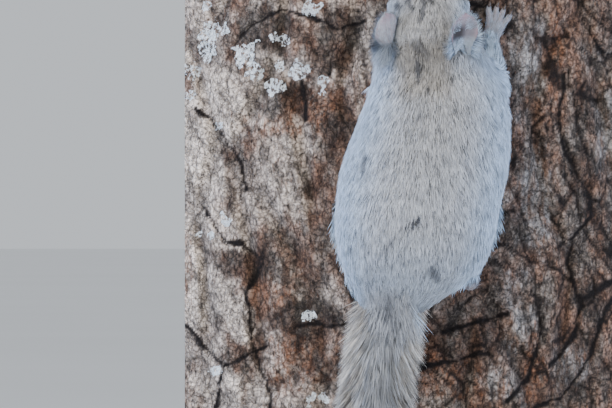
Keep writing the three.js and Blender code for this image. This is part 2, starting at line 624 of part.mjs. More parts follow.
// The coat of the body is one form, parted by thin cuts.
const far = 120;
const slab = (low, high) => block(new THREE.Vector3(-far, -far, low), new THREE.Vector3(far, far, high));
const flesh = without(join(torsoForm(), headForm()), under, bark);
const head = without(
  flesh.intersect(slab(NECK.high + GAP, NECK.high + far)), eyeball(1, GAP), eyeball(-1, GAP), noseForm(GAP), mouthCut(),
);
const neck = flesh.intersect(slab(NECK.low, NECK.high));
const body = flesh.intersect(slab(0, NECK.low - GAP));
const sides = Object.entries(membranes);
const folds = join(sides.map(([, side]) => membraneRegion(side, GAP)));
const shoulders = limbs.map(([, plan]) => upperLimb(plan, GAP));
squirrel.add(piece("head", head, MATERIALS.fur));
squirrel.add(piece("neck", neck, MATERIALS.fur));
squirrel.add(piece("torso", without(body, folds, shoulders), MATERIALS.fur));
for (const [name, plan] of limbs) {
  const [upper, lower, foot] = name.startsWith("arm") ? ["upper", "fore", "hand"] : ["thigh", "shank", "foot"];
  squirrel.add(piece(`${name}_${upper}`, without(body, folds).intersect(upperLimb(plan)), MATERIALS.fur));
  squirrel.add(piece(`${name}_${lower}`, without(lowerLimb(plan), bark, paw(plan, GAP)), MATERIALS.fur));
  squirrel.add(piece(`${name}_${foot}`, without(paw(plan), bark), MATERIALS.foot));
}
for (const [name, side] of sides) {
  squirrel.add(piece(`gliding_membrane_${name}`, body.intersect(membraneRegion(side)), MATERIALS.membrane));
  squirrel.add(piece(`eye_${name}`, eyeball(side), MATERIALS.eye));
  squirrel.add(piece(`ear_${name}`, ear(EARS[name]), MATERIALS.ear));
}
squirrel.add(piece("nose", without(noseForm(), nostril(1), nostril(-1)), MATERIALS.nose));
squirrel.add(piece("tail", without(tailForm(), torsoForm(GAP), under, bark), MATERIALS.fur));

const model = new THREE.Group();
model.add(squirrel);
model.add(piece("perch_trunk", trunkForm(), MATERIALS.bark));
model.add(piece("stand_base", baseForm(), MATERIALS.base));
for (const [name, side] of sides)
  model.add(piece(`stand_rod_${name}`, rodForm(side), MATERIALS.steel));

export default model;
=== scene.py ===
"""A Siberian flying squirrel clinging to a slab of trunk on a plain stand, dressed over its solids."""

import math

import bpy
import numpy as np
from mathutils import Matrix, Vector
from mathutils.bvhtree import BVHTree
from mathutils.kdtree import KDTree


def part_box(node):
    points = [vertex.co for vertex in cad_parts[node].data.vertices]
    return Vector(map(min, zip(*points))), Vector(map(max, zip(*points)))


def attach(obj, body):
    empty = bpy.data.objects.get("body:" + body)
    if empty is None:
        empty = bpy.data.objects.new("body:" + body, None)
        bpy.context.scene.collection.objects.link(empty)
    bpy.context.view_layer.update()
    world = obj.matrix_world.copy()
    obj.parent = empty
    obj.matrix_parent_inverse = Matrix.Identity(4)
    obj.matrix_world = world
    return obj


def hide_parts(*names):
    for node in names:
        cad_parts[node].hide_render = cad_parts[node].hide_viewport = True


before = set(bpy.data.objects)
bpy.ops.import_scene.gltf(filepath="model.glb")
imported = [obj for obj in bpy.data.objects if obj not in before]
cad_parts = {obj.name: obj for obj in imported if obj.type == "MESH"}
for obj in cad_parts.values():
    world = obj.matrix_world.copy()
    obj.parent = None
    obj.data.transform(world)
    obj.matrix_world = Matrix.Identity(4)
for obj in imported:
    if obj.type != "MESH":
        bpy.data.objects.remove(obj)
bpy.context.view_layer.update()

bl_info = {
    "name": "Flying squirrel on a trunk",
    "version": (1, 0, 0),
    "blender": (4, 5, 0),
    "location": "3D View > Sidebar > Squirrel",
    "description": "Makes the coat, skin, eyes, claws, bark and stand of a clinging flying squirrel",
    "category": "Object",
}

MM = 0.001
SEED = 20261

# Sizes of the solids in mm, which the finer pieces are worked out from
TRUNK = {"radius": 135, "face": -5, "half": 95, "back": 47, "low": 40.6, "high": 320.6}
# Where the tail joins the body, its length, and how far its middle stands off the bark
TAIL_ROOT_X = -12
TAIL_ROOT_Z = 155
TAIL_LENGTH = 103
TAIL_OVER = 7.2
# The middle of the nape
NAPE_X = 2
# The head's centre, with its turn to one side and its nod in degrees
HEAD = {"x": 3, "over": 22.5, "z": 265.5, "roll": 8, "pitch": -18}
# An eye's centre in the head's frame, the way it looks in degrees, and its radius
EYE = {"u": 17, "v": 11.1, "w": 3.4, "forward": 24, "up": 16, "radius": 5.6}
# The lids' rim in mm: radius, more at the corners, height over the eyeball, half thickness and half width
LID = {"radius": 4.7, "corner": 0.6, "over": 0.12, "thick": 0.26, "wide": 0.62}
# Each ear's root, lean and opening in the head's frame
EARS = {
    "left": {"root": (-9, -13.6, 8.2), "lean": (0.66, -0.06, 0.75), "opening": (0.45, -0.78, -0.45)},
    "right": {"root": (-9, 14.6, 8), "lean": (0.66, 0.16, 0.73), "opening": (-0.35, 0.62, 0.7)},
}
# Each limb's bend, wrist or heel, and toe tips: x, height over the bark, z
LIMBS = {
    "arm_right": {"elbow": (31, 12, 243), "wrist": (28.5, 4.6, 263), "tips": (32.5, 2.4, 276)},
    "arm_left": {"elbow": (-16, 12, 243), "wrist": (-6.5, 4.6, 265), "tips": (-5.5, 2.4, 278.5)},
    "leg_right": {"elbow": (26, 13, 191), "wrist": (20.5, 4.8, 168), "tips": (26.5, 2.4, 196)},
    "leg_left": {"elbow": (-28.5, 13, 191), "wrist": (-24.5, 4.8, 168), "tips": (-29.5, 2.4, 196)},
}
# Solids of flesh, which share one skin
FLESH = (
    "head", "neck", "torso", "arm_right_upper", "arm_right_fore", "arm_left_upper", "arm_left_fore",
    "leg_right_thigh", "leg_right_shank", "leg_left_thigh", "leg_left_shank",
    "gliding_membrane_left", "gliding_membrane_right",
)
# Forearms and shanks, by their place in that list
LIMB_LABELS = [index for index, name in enumerate(FLESH) if name.endswith(("_fore", "_shank"))]
# Hands and feet: length of the palm, number of toes, their spread, radius of the wrist
PAWS = {
    "arm": {"palm": 6.5, "toes": 4, "spread": 8, "wrist": 3.3},
    "leg": {"palm": 20, "toes": 5, "spread": 9, "wrist": 3.6},
}
# The body's middle line and half width, by height over the tail's root
SPINE = {
    "up": (-7, 7, 25, 42, 60, 75, 89, 100, 115),
    "side": (-13, -6, -2.3, -0.6, 2.6, 5.6, 7, 5, 3),
    "half": (6, 22.2, 32.8, 35, 34.6, 32, 28.4, 22.4, 13),
}
# The tail's middle line and half width, by distance below its root
TAIL = {
    "down": (-6, 6, 28, 50, 72, 90, 103),
    "side": (-12, -14.4, -17.4, -20.4, -22.4, -23.2, -23.4),
    "half": (14, 15.2, 16.8, 17.6, 16.6, 11, 4),
}

# Hair by part: length and width of a tuft in mm, and tufts per square mm
HAIR = {
    "body": {"density": 4.9},
    "head": {"length": 4.6, "width": 0.28, "density": 7.4},
    "cheek": {"length": 9.5},
    "muzzle": {"length": 1.5, "width": 0.2, "density": 13.0},
    "limb": {"length": 4.2, "width": 0.28, "density": 5.0},
    "over_tail": {"length": 14},
}
# The tail's core: radii from root to tip, and how much thinner it is than wide
TAIL_CORE = (4.6, 4.2, 3.8, 3.4, 3.0, 2.6, 2.2, 1.8, 1.2)
TAIL_FLAT = 0.8
# Hair of the tail: how many tufts, their width, their length in the middle and at least, and how much of
# the tail's end has no roots
TAIL_HAIR = {"count": 24500, "width": 0.43, "middle_length": 12.5, "least_length": 8.0, "bare_end": 9}
# An ear's length from its root, and half its width
EAR = {"length": 15.8, "half_width": 6.2}
# Length of the hair on an ear's back and inside it, at its root and its tip, and round its foot
EAR_HAIR = {"back": 3.2, "tip": 1.3, "inside": 4.0, "inside_tip": 2.6, "foot": 5.0}
# Hair over the foot of an ear's opening: how many tufts, across how much, their mean length and width
FRINGE = {"count": 2200, "across": 14, "length": 4.96, "width": 0.2}
# Hair of hands and feet: tufts per square mm, their length at the wrist and at the toes, and their width
PAW_HAIR = {"density": 7.0, "wrist_length": 3.2, "toe_length": 1.5, "width": 0.24}
# How far a tuft starts under the skin, in mm
ROOT_DEPTH = 0.35
# A tuft's width at each of its rings, from the root, as a share of its full width
TAPER = (0.8, 1.0, 0.7)
# About as many tufts draw together in a clump
CLUMP = 14
# The side of one tuft's spot in the map
TUFT_PATCH = 0.003
# No piece of a coat has more triangles
PIECE_TRIANGLES = 190000
# Farther than anything on the model, in mm
FAR = 99.0

# Dark marks of the coat seen from behind, with painted shade in its partings and in the crease under the
# head's fur: x and z of both ends, radius, strength
DARK_MARKS_AND_SHADE = (
    (-1.6, 261, 1.8, 257.4, 1.5, 0.6),
    (-0.9, 254.5, -0.4, 246.5, 0.7, 0.8),
    (-8.8, 276.4, -8.4, 275, 0.8, 0.7),
    (-4.5, 277.6, -4.2, 276.8, 0.7, 0.7),
    (-3.4, 275.6, -2.8, 274.6, 0.7, 0.7),
    (1, 277.6, 1.6, 276.4, 0.7, 0.7),
    (3.4, 278, 4.4, 276.6, 0.7, 0.7),
    (0.8, 274, 1, 272, 0.7, 0.75),
    (-0.4, 270.8, -0.4, 269.6, 0.6, 0.5),
    (2.6, 242.6, 3.2, 241.4, 0.7, 0.6),
    (-7, 238.6, 3, 236.4, 0.5, 0.35),
    (-12.2, 246.8, -12.4, 245.8, 0.5, 0.4),
    (12, 247.4, 12, 246.4, 0.5, 0.5),
    (-0.1, 232.4, -0.3, 231.4, 0.6, 0.6),
    (-4.6, 231.6, -5.6, 230, 0.5, 0.5),
    (7, 227.6, 7.2, 225.4, 0.6, 0.6),
    (-20.8, 215.6, -21.8, 210, 0.6, 0.6),
    (-0.6, 192, -6, 187.2, 0.55, 1.0),
    (-11, 182.6, -13.8, 179.6, 0.8, 0.55),
    (-26, 181, -27.6, 178.6, 0.7, 0.4),
    (4.2, 172.4, 6.2, 169.8, 1.2, 0.65),
    (17, 214, 19, 209, 0.5, 0.35),
)


def smooth(value, low, high):
    """A soft step from 0 at low to 1 at high, which may also run downwards."""
    share = np.clip((np.asarray(value, float) - low) / (high - low), 0, 1)
    return share * share * (3 - 2 * share)


def within(*limits):
    """The product of smooth steps, each a value with where it counts as 0 and where as 1."""
    share = 1.0
    for value, start, end in limits:
        share = share * smooth(value, start, end)
    return share


def mix(a, b, share):
    """From a to b by a share."""
    return a + (b - a) * share


def unit(vectors):
    """Vectors brought to a length of 1."""
    return vectors / np.maximum(np.linalg.norm(vectors, axis=-1, keepdims=True), 1e-9)


def along_surface(lies, normals, share=1.0):
    """Directions with what points out of the surface taken off, wholly or by a share."""
    return unit(lies - normals * (lies * normals).sum(axis=1, keepdims=True) * share)


def varied(values, spread, random):
    """Values that differ from tuft to tuft by up to a share either way."""
    return values * (1 - spread + 2 * spread * random.random(len(values)))


def face_y(x):
    """The y of the bark's smooth envelope at x, in mm."""
    return TRUNK["face"] + TRUNK["radius"] - np.sqrt(TRUNK["radius"] ** 2 - np.asarray(x, float) ** 2)


def over(x, height, z):
    """A point at a height over the bark, in mm."""
    return np.array((x, face_y(x) - height, z), float)


def head_matrix():
    """The head's own frame: u forward to the nose, v to the animal's right, w out of the crown."""
    roll, pitch = math.radians(HEAD["roll"]), math.radians(HEAD["pitch"])
    right = np.array((math.cos(roll), -math.sin(roll), 0))
    crown = np.array((-math.sin(roll), -math.cos(roll), 0))
    nose = np.array((0, 0, 1))
    forward = nose * math.cos(pitch) + crown * math.sin(pitch)
    up = crown * math.cos(pitch) - nose * math.sin(pitch)
    return np.stack((forward, right, up)), over(HEAD["x"], HEAD["over"], HEAD["z"])


HEAD_AXES, HEAD_CENTRE = head_matrix()


def in_head(u, v, w):
    """A point of the head's frame, in the model's mm."""
    return HEAD_CENTRE + u * HEAD_AXES[0] + v * HEAD_AXES[1] + w * HEAD_AXES[2]


def head_place(points):
    """u, v and w of points in mm."""
    return (points - HEAD_CENTRE) @ HEAD_AXES.T


def eye_frame(side):
    """An eye's centre and the way it looks."""
    forward, up = math.radians(EYE["forward"]), math.radians(EYE["up"])
    look = (math.sin(forward) * math.cos(up), side * math.cos(forward) * math.cos(up), math.sin(up))
    return in_head(EYE["u"], side * EYE["v"], EYE["w"]), np.array(look) @ HEAD_AXES


def linear(code):
    """A linear colour from an sRGB hex value."""
    parts = [int(code[i : i + 2], 16) / 255 for i in (0, 2, 4)]
    return (*[c / 12.92 if c < 0.04045 else ((c + 0.055) / 1.055) ** 2.4 for c in parts], 1)


def picked(name, code, words):
    """A colour that the user may change."""
    return bpy.props.FloatVectorProperty(
        name=name, description=words, subtype="COLOR", size=4, min=0, max=1, default=linear(code)
    )


def sized(name, value, words):
    """A length that the user may change, given in mm."""
    return bpy.props.FloatProperty(
        name=name,
        description=words,
        default=value * MM,
        min=0,
        precision=5,
        unit="LENGTH",
        subtype="DISTANCE",
    )


class CoatLooks(bpy.types.PropertyGroup):
    back: picked("Back", "CED0D3", "Grey-fawn guard hair along the back")
    # Partly painted light: pale grey side hair tinted with the bluish sky light that falls on the flanks
    flank_and_sky_blue: picked("Flank", "D2E8FF", "Pale blue-grey hair of the flanks")
    belly: picked("Belly", "E9E8E4", "White hair of the belly, throat and cheeks")
    warm: picked("Warm", "B0A89C", "Fawn tint of the crown and the middle of the back")
    # This dark colour also serves as painted shade in the partings, on the arm and on the nape
    mark: picked("Marks", "3E3F44", "Dark partings, nape patch and eye rings")
    body_length: sized("Body hair", 6.6, "Length of a tuft on the back")
    body_width: sized("Body tuft", 0.36, "Width of a tuft on the back")
    cream: picked("Cream", "FFF2DF", "Creamy hair along the tail's edges")
    tail_length: sized("Tail hair", 22, "Length of a tuft at the tail's edge")
    depth: sized("Coat depth", 3.6, "How far the skin lies under the coat's outline on the body")


class SkinLooks(bpy.types.PropertyGroup):
    skin: picked("Under-fur", "8E9094", "Dense grey under-fur at the roots of the coat")
    ear: picked("Ear", "B2A4A8", "Thin pinkish-grey skin of the ears")
    foot: picked("Foot", "958C8E", "Skin of hands and feet")
    nose: picked("Nose", "5C4C4A", "Moist skin of the nose")
    lid: picked("Lid", "2B2523", "Bare dark rim of the eyelids")
    claw: picked("Claw", "4A3B31", "Horn of the claws")
    eye: picked("Eye", "050404", "Nearly black iris behind the clear front of the eye")


class PerchLooks(bpy.types.PropertyGroup):
    bark: picked("Bark", "988A7E", "Weathered grey-brown of the bark's plates")
    brown_bark: picked("Brown bark", "9E7862", "Warm brown where scales have flaked away")
    pale_bark: picked("Pale bark", "FFEBD8", "Pinkish-beige of the flaking plates on one side")
    inner_bark: picked("Inner bark", "A4663F", "Orange-brown streaks of inner bark")
    crack_shade: picked("Cracks", "17110F", "Shade deep in the cracks")
    silver: picked("Silver bark", "BAB3AD", "Weathered silver-grey strips")
    lichen: picked("Lichen", "E4E9EA", "Crusts of white lichen")
    wood: picked("Sawn wood", "C9A77C", "Pale sawn wood of the ends and the back")
    base: picked("Base", "3A261A", "Oiled walnut of the base")
    cell: sized("Bark cell", 0.8, "Size of one face of the bark")


# Materials


def add(tree, kind, values=None, links=None, **settings):
    """Adds a node with its settings, its sockets' values and its links."""
    made = tree.nodes.new(kind)
    for key, value in settings.items():
        setattr(made, key, value)
    for socket, value in (values or {}).items():
        made.inputs[socket].default_value = value
    for socket, source in (links or {}).items():
        tree.links.new(source, made.inputs[socket])
    return made


def begin(name, **values):
    """A new material with its shader, and the tree they stand in."""
    material = bpy.data.materials.new(name)
    material.use_nodes = True
    tree = material.node_tree
    tree.nodes.clear()
    shader = add(tree, "ShaderNodeBsdfPrincipled", values)
    add(tree, "ShaderNodeOutputMaterial", links={"Surface": shader.outputs[0]})
    return material, tree, shader


def blended(tree, low, high, factor, kind="MIX"):
    """A colour between two, each a value or another node's socket."""
    mixer = add(tree, "ShaderNodeMix", data_type="RGBA", blend_type=kind)
    for index, source in ((6, low), (7, high), (0, factor)):
        if isinstance(source, bpy.types.NodeSocket):
            tree.links.new(source, mixer.inputs[index])
        else:
            mixer.inputs[index].default_value = source
    return mixer.outputs[2]


def ramped(tree, source, stops):
    """A grey ramp over a socket: pairs of place and brightness."""
    ramp = add(tree, "ShaderNodeValToRGB", links={"Fac": source})
    elements = ramp.color_ramp.elements
    while len(elements) < len(stops):
        elements.new(0.5)
    for element, (place, level) in zip(elements, stops):
        element.position = place
        element.color = (level, level, level, 1)
    return ramp.outputs["Color"]


def noise(tree, size_mm, stretch=(1, 1, 1), detail=4, rough=0.6):
    """Noise over the object, with spots of about a size in mm, drawn out along an axis."""
    place = add(tree, "ShaderNodeTexCoord")
    scale = tuple(1 / (size_mm * MM * s) for s in stretch)
    spread = add(tree, "ShaderNodeVectorMath", {1: scale}, {0: place.outputs["Object"]}, operation="MULTIPLY")
    values = {"Scale": 1, "Detail": detail, "Roughness": rough}
    made = add(tree, "ShaderNodeTexNoise", values, {"Vector": spread.outputs[0]})
    return made.outputs["Fac"]


def cracked(tree, size_mm, stretch):
    """Thin broken lines between uneven cells of a size in mm: 0 on a line, rising away from it."""
    place = add(tree, "ShaderNodeTexCoord").outputs["Object"]
    values = {"Scale": 1 / (size_mm * MM), "Detail": 5, "Roughness": 0.65}
    wander = add(tree, "ShaderNodeTexNoise", values, {"Vector": place})
    middle, reach = (0.5,) * 3, (1.6 * size_mm * MM,) * 3
    source = {0: wander.outputs["Color"]}
    centred = add(tree, "ShaderNodeVectorMath", {1: middle}, source, operation="SUBTRACT")
    shift = add(tree, "ShaderNodeVectorMath", {1: reach}, {0: centred.outputs[0]}, operation="MULTIPLY")
    moved = add(tree, "ShaderNodeVectorMath", links={0: place, 1: shift.outputs[0]}, operation="ADD")
    scale = tuple(1 / (size_mm * MM * s) for s in stretch)
    spread = add(tree, "ShaderNodeVectorMath", {1: scale}, {0: moved.outputs[0]}, operation="MULTIPLY")
    cells = add(
        tree, "ShaderNodeTexVoronoi", {"Scale": 1}, {"Vector": spread.outputs[0]}, feature="DISTANCE_TO_EDGE"
    )
    return cells.outputs["Distance"]


def bumped(tree, shader, source, depth_mm):
    """Lets the light fall as over a relief of a depth in mm."""
    bump = add(tree, "ShaderNodeBump", {"Distance": depth_mm * MM}, {"Height": source})
    tree.links.new(bump.outputs[0], shader.inputs["Normal"])


def coat_colour(tree, looks, pale):
    """The colours that the coat and the skin share: markings, with painted bluish sky light on the flanks and
    painted shade among the dark marks, from what each vertex carries.
    """
    flank_and_sky_blue, warm, dark, belly = channels(tree, "marks_and_painted_light")
    colour = blended(tree, tuple(looks.back), tuple(looks.flank_and_sky_blue), flank_and_sky_blue)
    colour = blended(tree, colour, tuple(looks.warm), warm)
    colour = blended(tree, colour, tuple(pale), belly)
    return blended(tree, colour, tuple(looks.mark), dark)


def channels(tree, name):
    """Red, green, blue and alpha of a colour that each vertex carries."""
    layer = add(tree, "ShaderNodeAttribute", attribute_name=name, attribute_type="GEOMETRY")
    parts = add(tree, "ShaderNodeSeparateColor", links={"Color": layer.outputs["Color"]})
    return (*parts.outputs, layer.outputs["Alpha"])


def finished(tree, shader, colour, *shades):
    """Darkens a colour by each of its shades and makes it the shader's own."""
    for shade in shades:
        colour = blended(tree, colour, shade, 1.0, "MULTIPLY")
    tree.links.new(colour, shader.inputs["Base Color"])


def fur_material(name, looks, pale, sheen=0.25, mottle=0.94):
    """Winter fur, grown: matt keratin hair, darker at the roots, with pale tips that catch soft light."""
    material, tree, shader = begin(
        name, **{"Roughness": 0.85, "Specular IOR Level": 0.25, "Sheen Weight": sheen, "Sheen Roughness": 0.5}
    )
    along, own, shared, _ = channels(tree, "strand")
    root_dark = ramped(tree, along, ((0, 0.55), (0.45, 0.9), (1, 1.0)))
    tone = ramped(tree, own, ((0, 0.12), (0.13, 0.46), (0.38, 0.84), (0.8, 1.0)))
    clump = ramped(tree, shared, ((0, 0.7), (0.4, 0.94), (1, 1.0)))
    fleck = ramped(tree, noise(tree, 2.4, (1, 1, 2.2)), ((0.36, 0.74), (0.52, 1.0)))
    patches = ramped(tree, noise(tree, 9, (1, 1, 1.6)), ((0.35, mottle), (0.6, 1.0)))
    finished(tree, shader, coat_colour(tree, looks, pale), root_dark, tone, clump, fleck, patches)
    return material


def under_fur_material(looks, skin):
    """Under-fur, grown: wool so dense that it shows as a soft matt ground between the guard hairs."""
    material, tree, shader = begin("under_fur", **{"Roughness": 0.95, "Specular IOR Level": 0.1})
    ground = blended(tree, coat_colour(tree, looks, looks.belly), tuple(skin.skin), 0.35)
    fine = noise(tree, 0.6, (1, 1, 4))
    finished(tree, shader, ground, ramped(tree, fine, ((0.3, 0.55), (0.7, 0.8))))
    bumped(tree, shader, fine, 0.4)
    return material


def thin_skin_material(name, colour, roughness=0.6):
    """Bare or thinly haired skin: softly mottled, a little light passes through its edges."""
    material, tree, shader = begin(
        name,
        **{
            "Roughness": roughness,
            "Subsurface Weight": 0.15,
            "Subsurface Radius": (0.003, 0.0012, 0.0008),
            "Specular IOR Level": 0.35,
        },
    )
    finished(tree, shader, tuple(colour), ramped(tree, noise(tree, 2.2), ((0.3, 0.75), (0.7, 1.0))))
    bumped(tree, shader, noise(tree, 0.35), 0.08)
    return material


def ear_material(skin):
    """Thin ear skin, nearly bare: pinkish-grey, a translucent mauve rim, painted deep shade down in the cup
    and a painted root shadow at its foot.
    """
    material, tree, shader = begin(
        "ear_skin",
        **{
            "Roughness": 0.55,
            "Subsurface Weight": 0.2,
            "Subsurface Radius": (0.002, 0.0009, 0.0006),
            "Specular IOR Level": 0.35,
        },
    )
    colour = tuple(skin.ear)
    parts = channels(tree, "ear")
    # Inner skin, rim, painted shade in the cup's hollow, painted root shadow at the ear's foot
    for code, share in zip(("8D868B", "9A8088", "2A2224", "8F979F"), parts):
        colour = blended(tree, colour, linear(code), share)
    finished(tree, shader, colour, ramped(tree, noise(tree, 1.6), ((0.3, 0.75), (0.7, 1.0))))
    bumped(tree, shader, noise(tree, 0.4), 0.08)
    return material


def cornea_material(skin):
    """A wet eye: nearly black iris under a clear polished front that mirrors the lights."""
    material, tree, shader = begin("wet_eye", **{"Roughness": 0.03, "IOR": 1.376})
    finished(tree, shader, tuple(skin.eye), ramped(tree, noise(tree, 1.5), ((0.3, 0.6), (0.7, 1.0))))
    return material


def horn_material(name, colour):
    """Horn, grown and worn: smooth, faintly banded along its length, glossy like a fingernail."""
    material, tree, shader = begin(name, **{"Roughness": 0.35, "Specular IOR Level": 0.5})
    bands = ramped(tree, noise(tree, 0.7, (1, 1, 3)), ((0.3, 0.6), (0.7, 1.0)))
    finished(tree, shader, tuple(colour), bands)
    return material


def bark_material(looks):
    """Old bark, weathered: rough grey-brown plates, cracks darkened with painted shade, orange inner bark,
    white lichen crusts.
    """
    material, tree, shader = begin("weathered_bark", **{"Roughness": 0.9, "Specular IOR Level": 0.2})
    crack_shade, flaking, crusted, _ = channels(tree, "relief")
    inner, tones, silvered, _ = channels(tree, "patch")
    brownish = ramped(tree, noise(tree, 9, (1, 1, 1.8), 6, 0.65), ((0.4, 0.0), (0.62, 1.0)))
    colour = blended(tree, tuple(looks.bark), tuple(looks.brown_bark), brownish)
    colour = blended(tree, colour, tuple(looks.pale_bark), flaking)
    weathered = ramped(tree, noise(tree, 3.5, (1, 1, 3), 6, 0.7), ((0.42, 0.0), (0.6, 1.0)))
    silver = blended(tree, (0, 0, 0, 1), weathered, silvered)
    colour = blended(tree, colour, tuple(looks.silver), silver)
    streak = ramped(tree, noise(tree, 2.6, (1, 1, 3.5), 6, 0.7), ((0.6, 0.0), (0.7, 0.6)))
    colour = blended(tree, colour, tuple(looks.inner_bark), streak)
    brown = ramped(tree, noise(tree, 2.2, (1, 1, 2), 6, 0.7), ((0.42, 0.1), (0.62, 0.75)))
    warm = blended(tree, (0, 0, 0, 1), brown, inner)
    colour = blended(tree, colour, tuple(looks.inner_bark), warm)
    plate = ramped(tree, tones, ((0.0, 0.34), (0.2, 0.6), (0.6, 1.0)))
    colour = blended(tree, colour, plate, 1.0, "MULTIPLY")
    coarse = noise(tree, 1.3, (1, 1, 2.0), 8, 0.75)
    fleck = ramped(tree, coarse, ((0.36, 0.12), (0.47, 0.7), (0.56, 1.0), (0.7, 1.0)))
    colour = blended(tree, colour, fleck, 1.0, "MULTIPLY")
    # Painted shade along thin broken cracks, which also shape the bump
    split = ramped(tree, cracked(tree, 5.5, (1, 1, 1.7)), ((0.0, 0.12), (0.035, 0.62), (0.12, 1.0)))
    flaked = ramped(tree, cracked(tree, 2.2, (1.3, 1, 1)), ((0.0, 0.45), (0.06, 0.85), (0.16, 1.0)))
    lines = blended(tree, split, flaked, 1.0, "MULTIPLY")
    colour = blended(tree, colour, lines, 0.75, "MULTIPLY")
    colour = blended(tree, colour, tuple(looks.crack_shade), crack_shade)
    crust = ramped(tree, noise(tree, 1.8, (1, 1, 1), 5, 0.75), ((0.47, 0.0), (0.5, 1.0)))
    lichen = blended(tree, (0, 0, 0, 1), crust, crusted)
    lichen = ramped(tree, lichen, ((0.35, 0.0), (0.5, 1.0)))
    finished(tree, shader, blended(tree, colour, tuple(looks.lichen), lichen))
    bumped(tree, shader, blended(tree, coarse, lines, 0.5), 1.6)
    return material


def sawn_wood_material(looks):
    """Softwood, sawn and dried: growth rings round the trunk's heart, a fuzzy matt cut surface."""
    material, tree, shader = begin("sawn_wood", **{"Roughness": 0.8, "Specular IOR Level": 0.25})
    place = add(tree, "ShaderNodeTexCoord")
    heart = (0, (TRUNK["face"] + TRUNK["radius"]) * MM, 0)
    moved = add(tree, "ShaderNodeVectorMath", {1: heart}, {0: place.outputs["Object"]}, operation="SUBTRACT")
    flat = add(tree, "ShaderNodeVectorMath", {1: (1, 1, 0)}, {0: moved.outputs[0]}, operation="MULTIPLY")
    distance = add(tree, "ShaderNodeVectorMath", links={0: flat.outputs[0]}, operation="LENGTH")
    wander = add(tree, "ShaderNodeMath", {1: 0.004}, {0: noise(tree, 25)}, operation="MULTIPLY")
    total = add(
        tree, "ShaderNodeMath", links={0: distance.outputs["Value"], 1: wander.outputs[0]}, operation="ADD"
    )
    ring_width = 2.4 * MM
    per_ring = {1: 2 * math.pi / ring_width}
    turns = add(tree, "ShaderNodeMath", per_ring, {0: total.outputs[0]}, operation="MULTIPLY")
    wave = add(tree, "ShaderNodeMath", links={0: turns.outputs[0]}, operation="SINE")
    rings = ramped(tree, wave.outputs[0], ((0.0, 0.72), (0.75, 1.0), (1.0, 0.8)))
    grain = ramped(tree, noise(tree, 0.8, (1, 1, 14)), ((0.3, 0.82), (0.7, 1.0)))
    finished(tree, shader, tuple(looks.wood), rings, grain)
    bumped(tree, shader, noise(tree, 0.5, (1, 1, 10)), 0.15)
    return material


def walnut_material(looks):
    """Walnut, planed and oiled: dark streaks along the board, satin with a soft edge gloss."""
    material, tree, shader = begin(
        "oiled_walnut", **{"Roughness": 0.42, "Coat Weight": 0.15, "Coat Roughness": 0.3}
    )
    streaks = ramped(tree, noise(tree, 4, (12, 1, 1), 5), ((0.25, 0.5), (0.55, 1.0), (0.8, 0.75)))
    pores = ramped(tree, noise(tree, 0.5, (14, 1, 1), 3), ((0.3, 0.7), (0.5, 1.0)))
    finished(tree, shader, tuple(looks.base), streaks, pores)
    bumped(tree, shader, noise(tree, 0.5, (14, 1, 1), 3), 0.06)
    return material


def steel_material():
    """Stainless steel rod, drawn and brushed: bright metal with fine lines along its length."""
    material, tree, shader = begin("brushed_steel", **{"Metallic": 1.0, "Roughness": 0.3})
    lines = noise(tree, 0.25, (1, 1, 60), 3)
    finished(tree, shader, linear("A7A9AB"), ramped(tree, lines, ((0.3, 0.8), (0.7, 1.0))))
    bumped(tree, shader, lines, 0.02)
    return material


def plain_floor_material():
    """Matt studio paper: an even pale ground."""
    material, tree, shader = begin("studio_paper", **{"Roughness": 0.95, "Specular IOR Level": 0.1})
    finished(tree, shader, linear("EDEEEF"), ramped(tree, noise(tree, 900), ((0.3, 0.97), (0.7, 1.0))))
    return material


# Mesh making


def placed(name, mesh, material, nodes=()):
    """An object from a mesh, riding on the body, with its finish and the solids that it stands for."""
    piece = bpy.data.objects.new(name, mesh)
    bpy.context.scene.collection.objects.link(piece)
    if material:
        mesh.materials.append(material)
    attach(piece, "root")
    if nodes:
        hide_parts(*nodes)
    return piece


def mesh_from(name, points_mm, faces):
    """A smooth-shaded mesh from points in mm and faces of any number of corners."""
    mesh = bpy.data.meshes.new(name)
    mesh.from_pydata((np.asarray(points_mm) * MM).tolist(), [], [list(f) for f in faces])
    mesh.update()
    mesh.polygons.foreach_set("use_smooth", [True] * len(mesh.polygons))
    return mesh


def triangle_mesh(name, points_mm, triangles):
    """A mesh of triangles from arrays, for pieces too large for lists."""
    mesh = bpy.data.meshes.new(name)
    mesh.vertices.add(len(points_mm))
    mesh.vertices.foreach_set("co", (points_mm * MM).astype(np.float32).ravel())
    mesh.loops.add(triangles.size)
    mesh.loops.foreach_set("vertex_index", triangles.astype(np.int32).ravel())
    mesh.polygons.add(len(triangles))
    mesh.polygons.foreach_set("loop_start", np.arange(0, triangles.size, 3, dtype=np.int32))
    mesh.polygons.foreach_set("use_smooth", np.ones(len(triangles), bool))
    mesh.update(calc_edges=True)
    return mesh


def attribute(mesh, name, values):
    """A colour on every vertex."""
    layer = mesh.attributes.new(name, "FLOAT_COLOR", "POINT")
    layer.data.foreach_set("color", np.ascontiguousarray(values, np.float32).ravel())


def node_arrays(name):
    """A solid's vertices in mm and its triangles."""
    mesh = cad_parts[name].data
    points = np.empty(len(mesh.vertices) * 3, np.float32)
    mesh.vertices.foreach_get("co", points)
    mesh.calc_loop_triangles()
    triangles = np.empty(len(mesh.loop_triangles) * 3, np.int32)
    mesh.loop_triangles.foreach_get("vertices", triangles)
    return points.reshape(-1, 3) / MM, triangles.reshape(-1, 3)


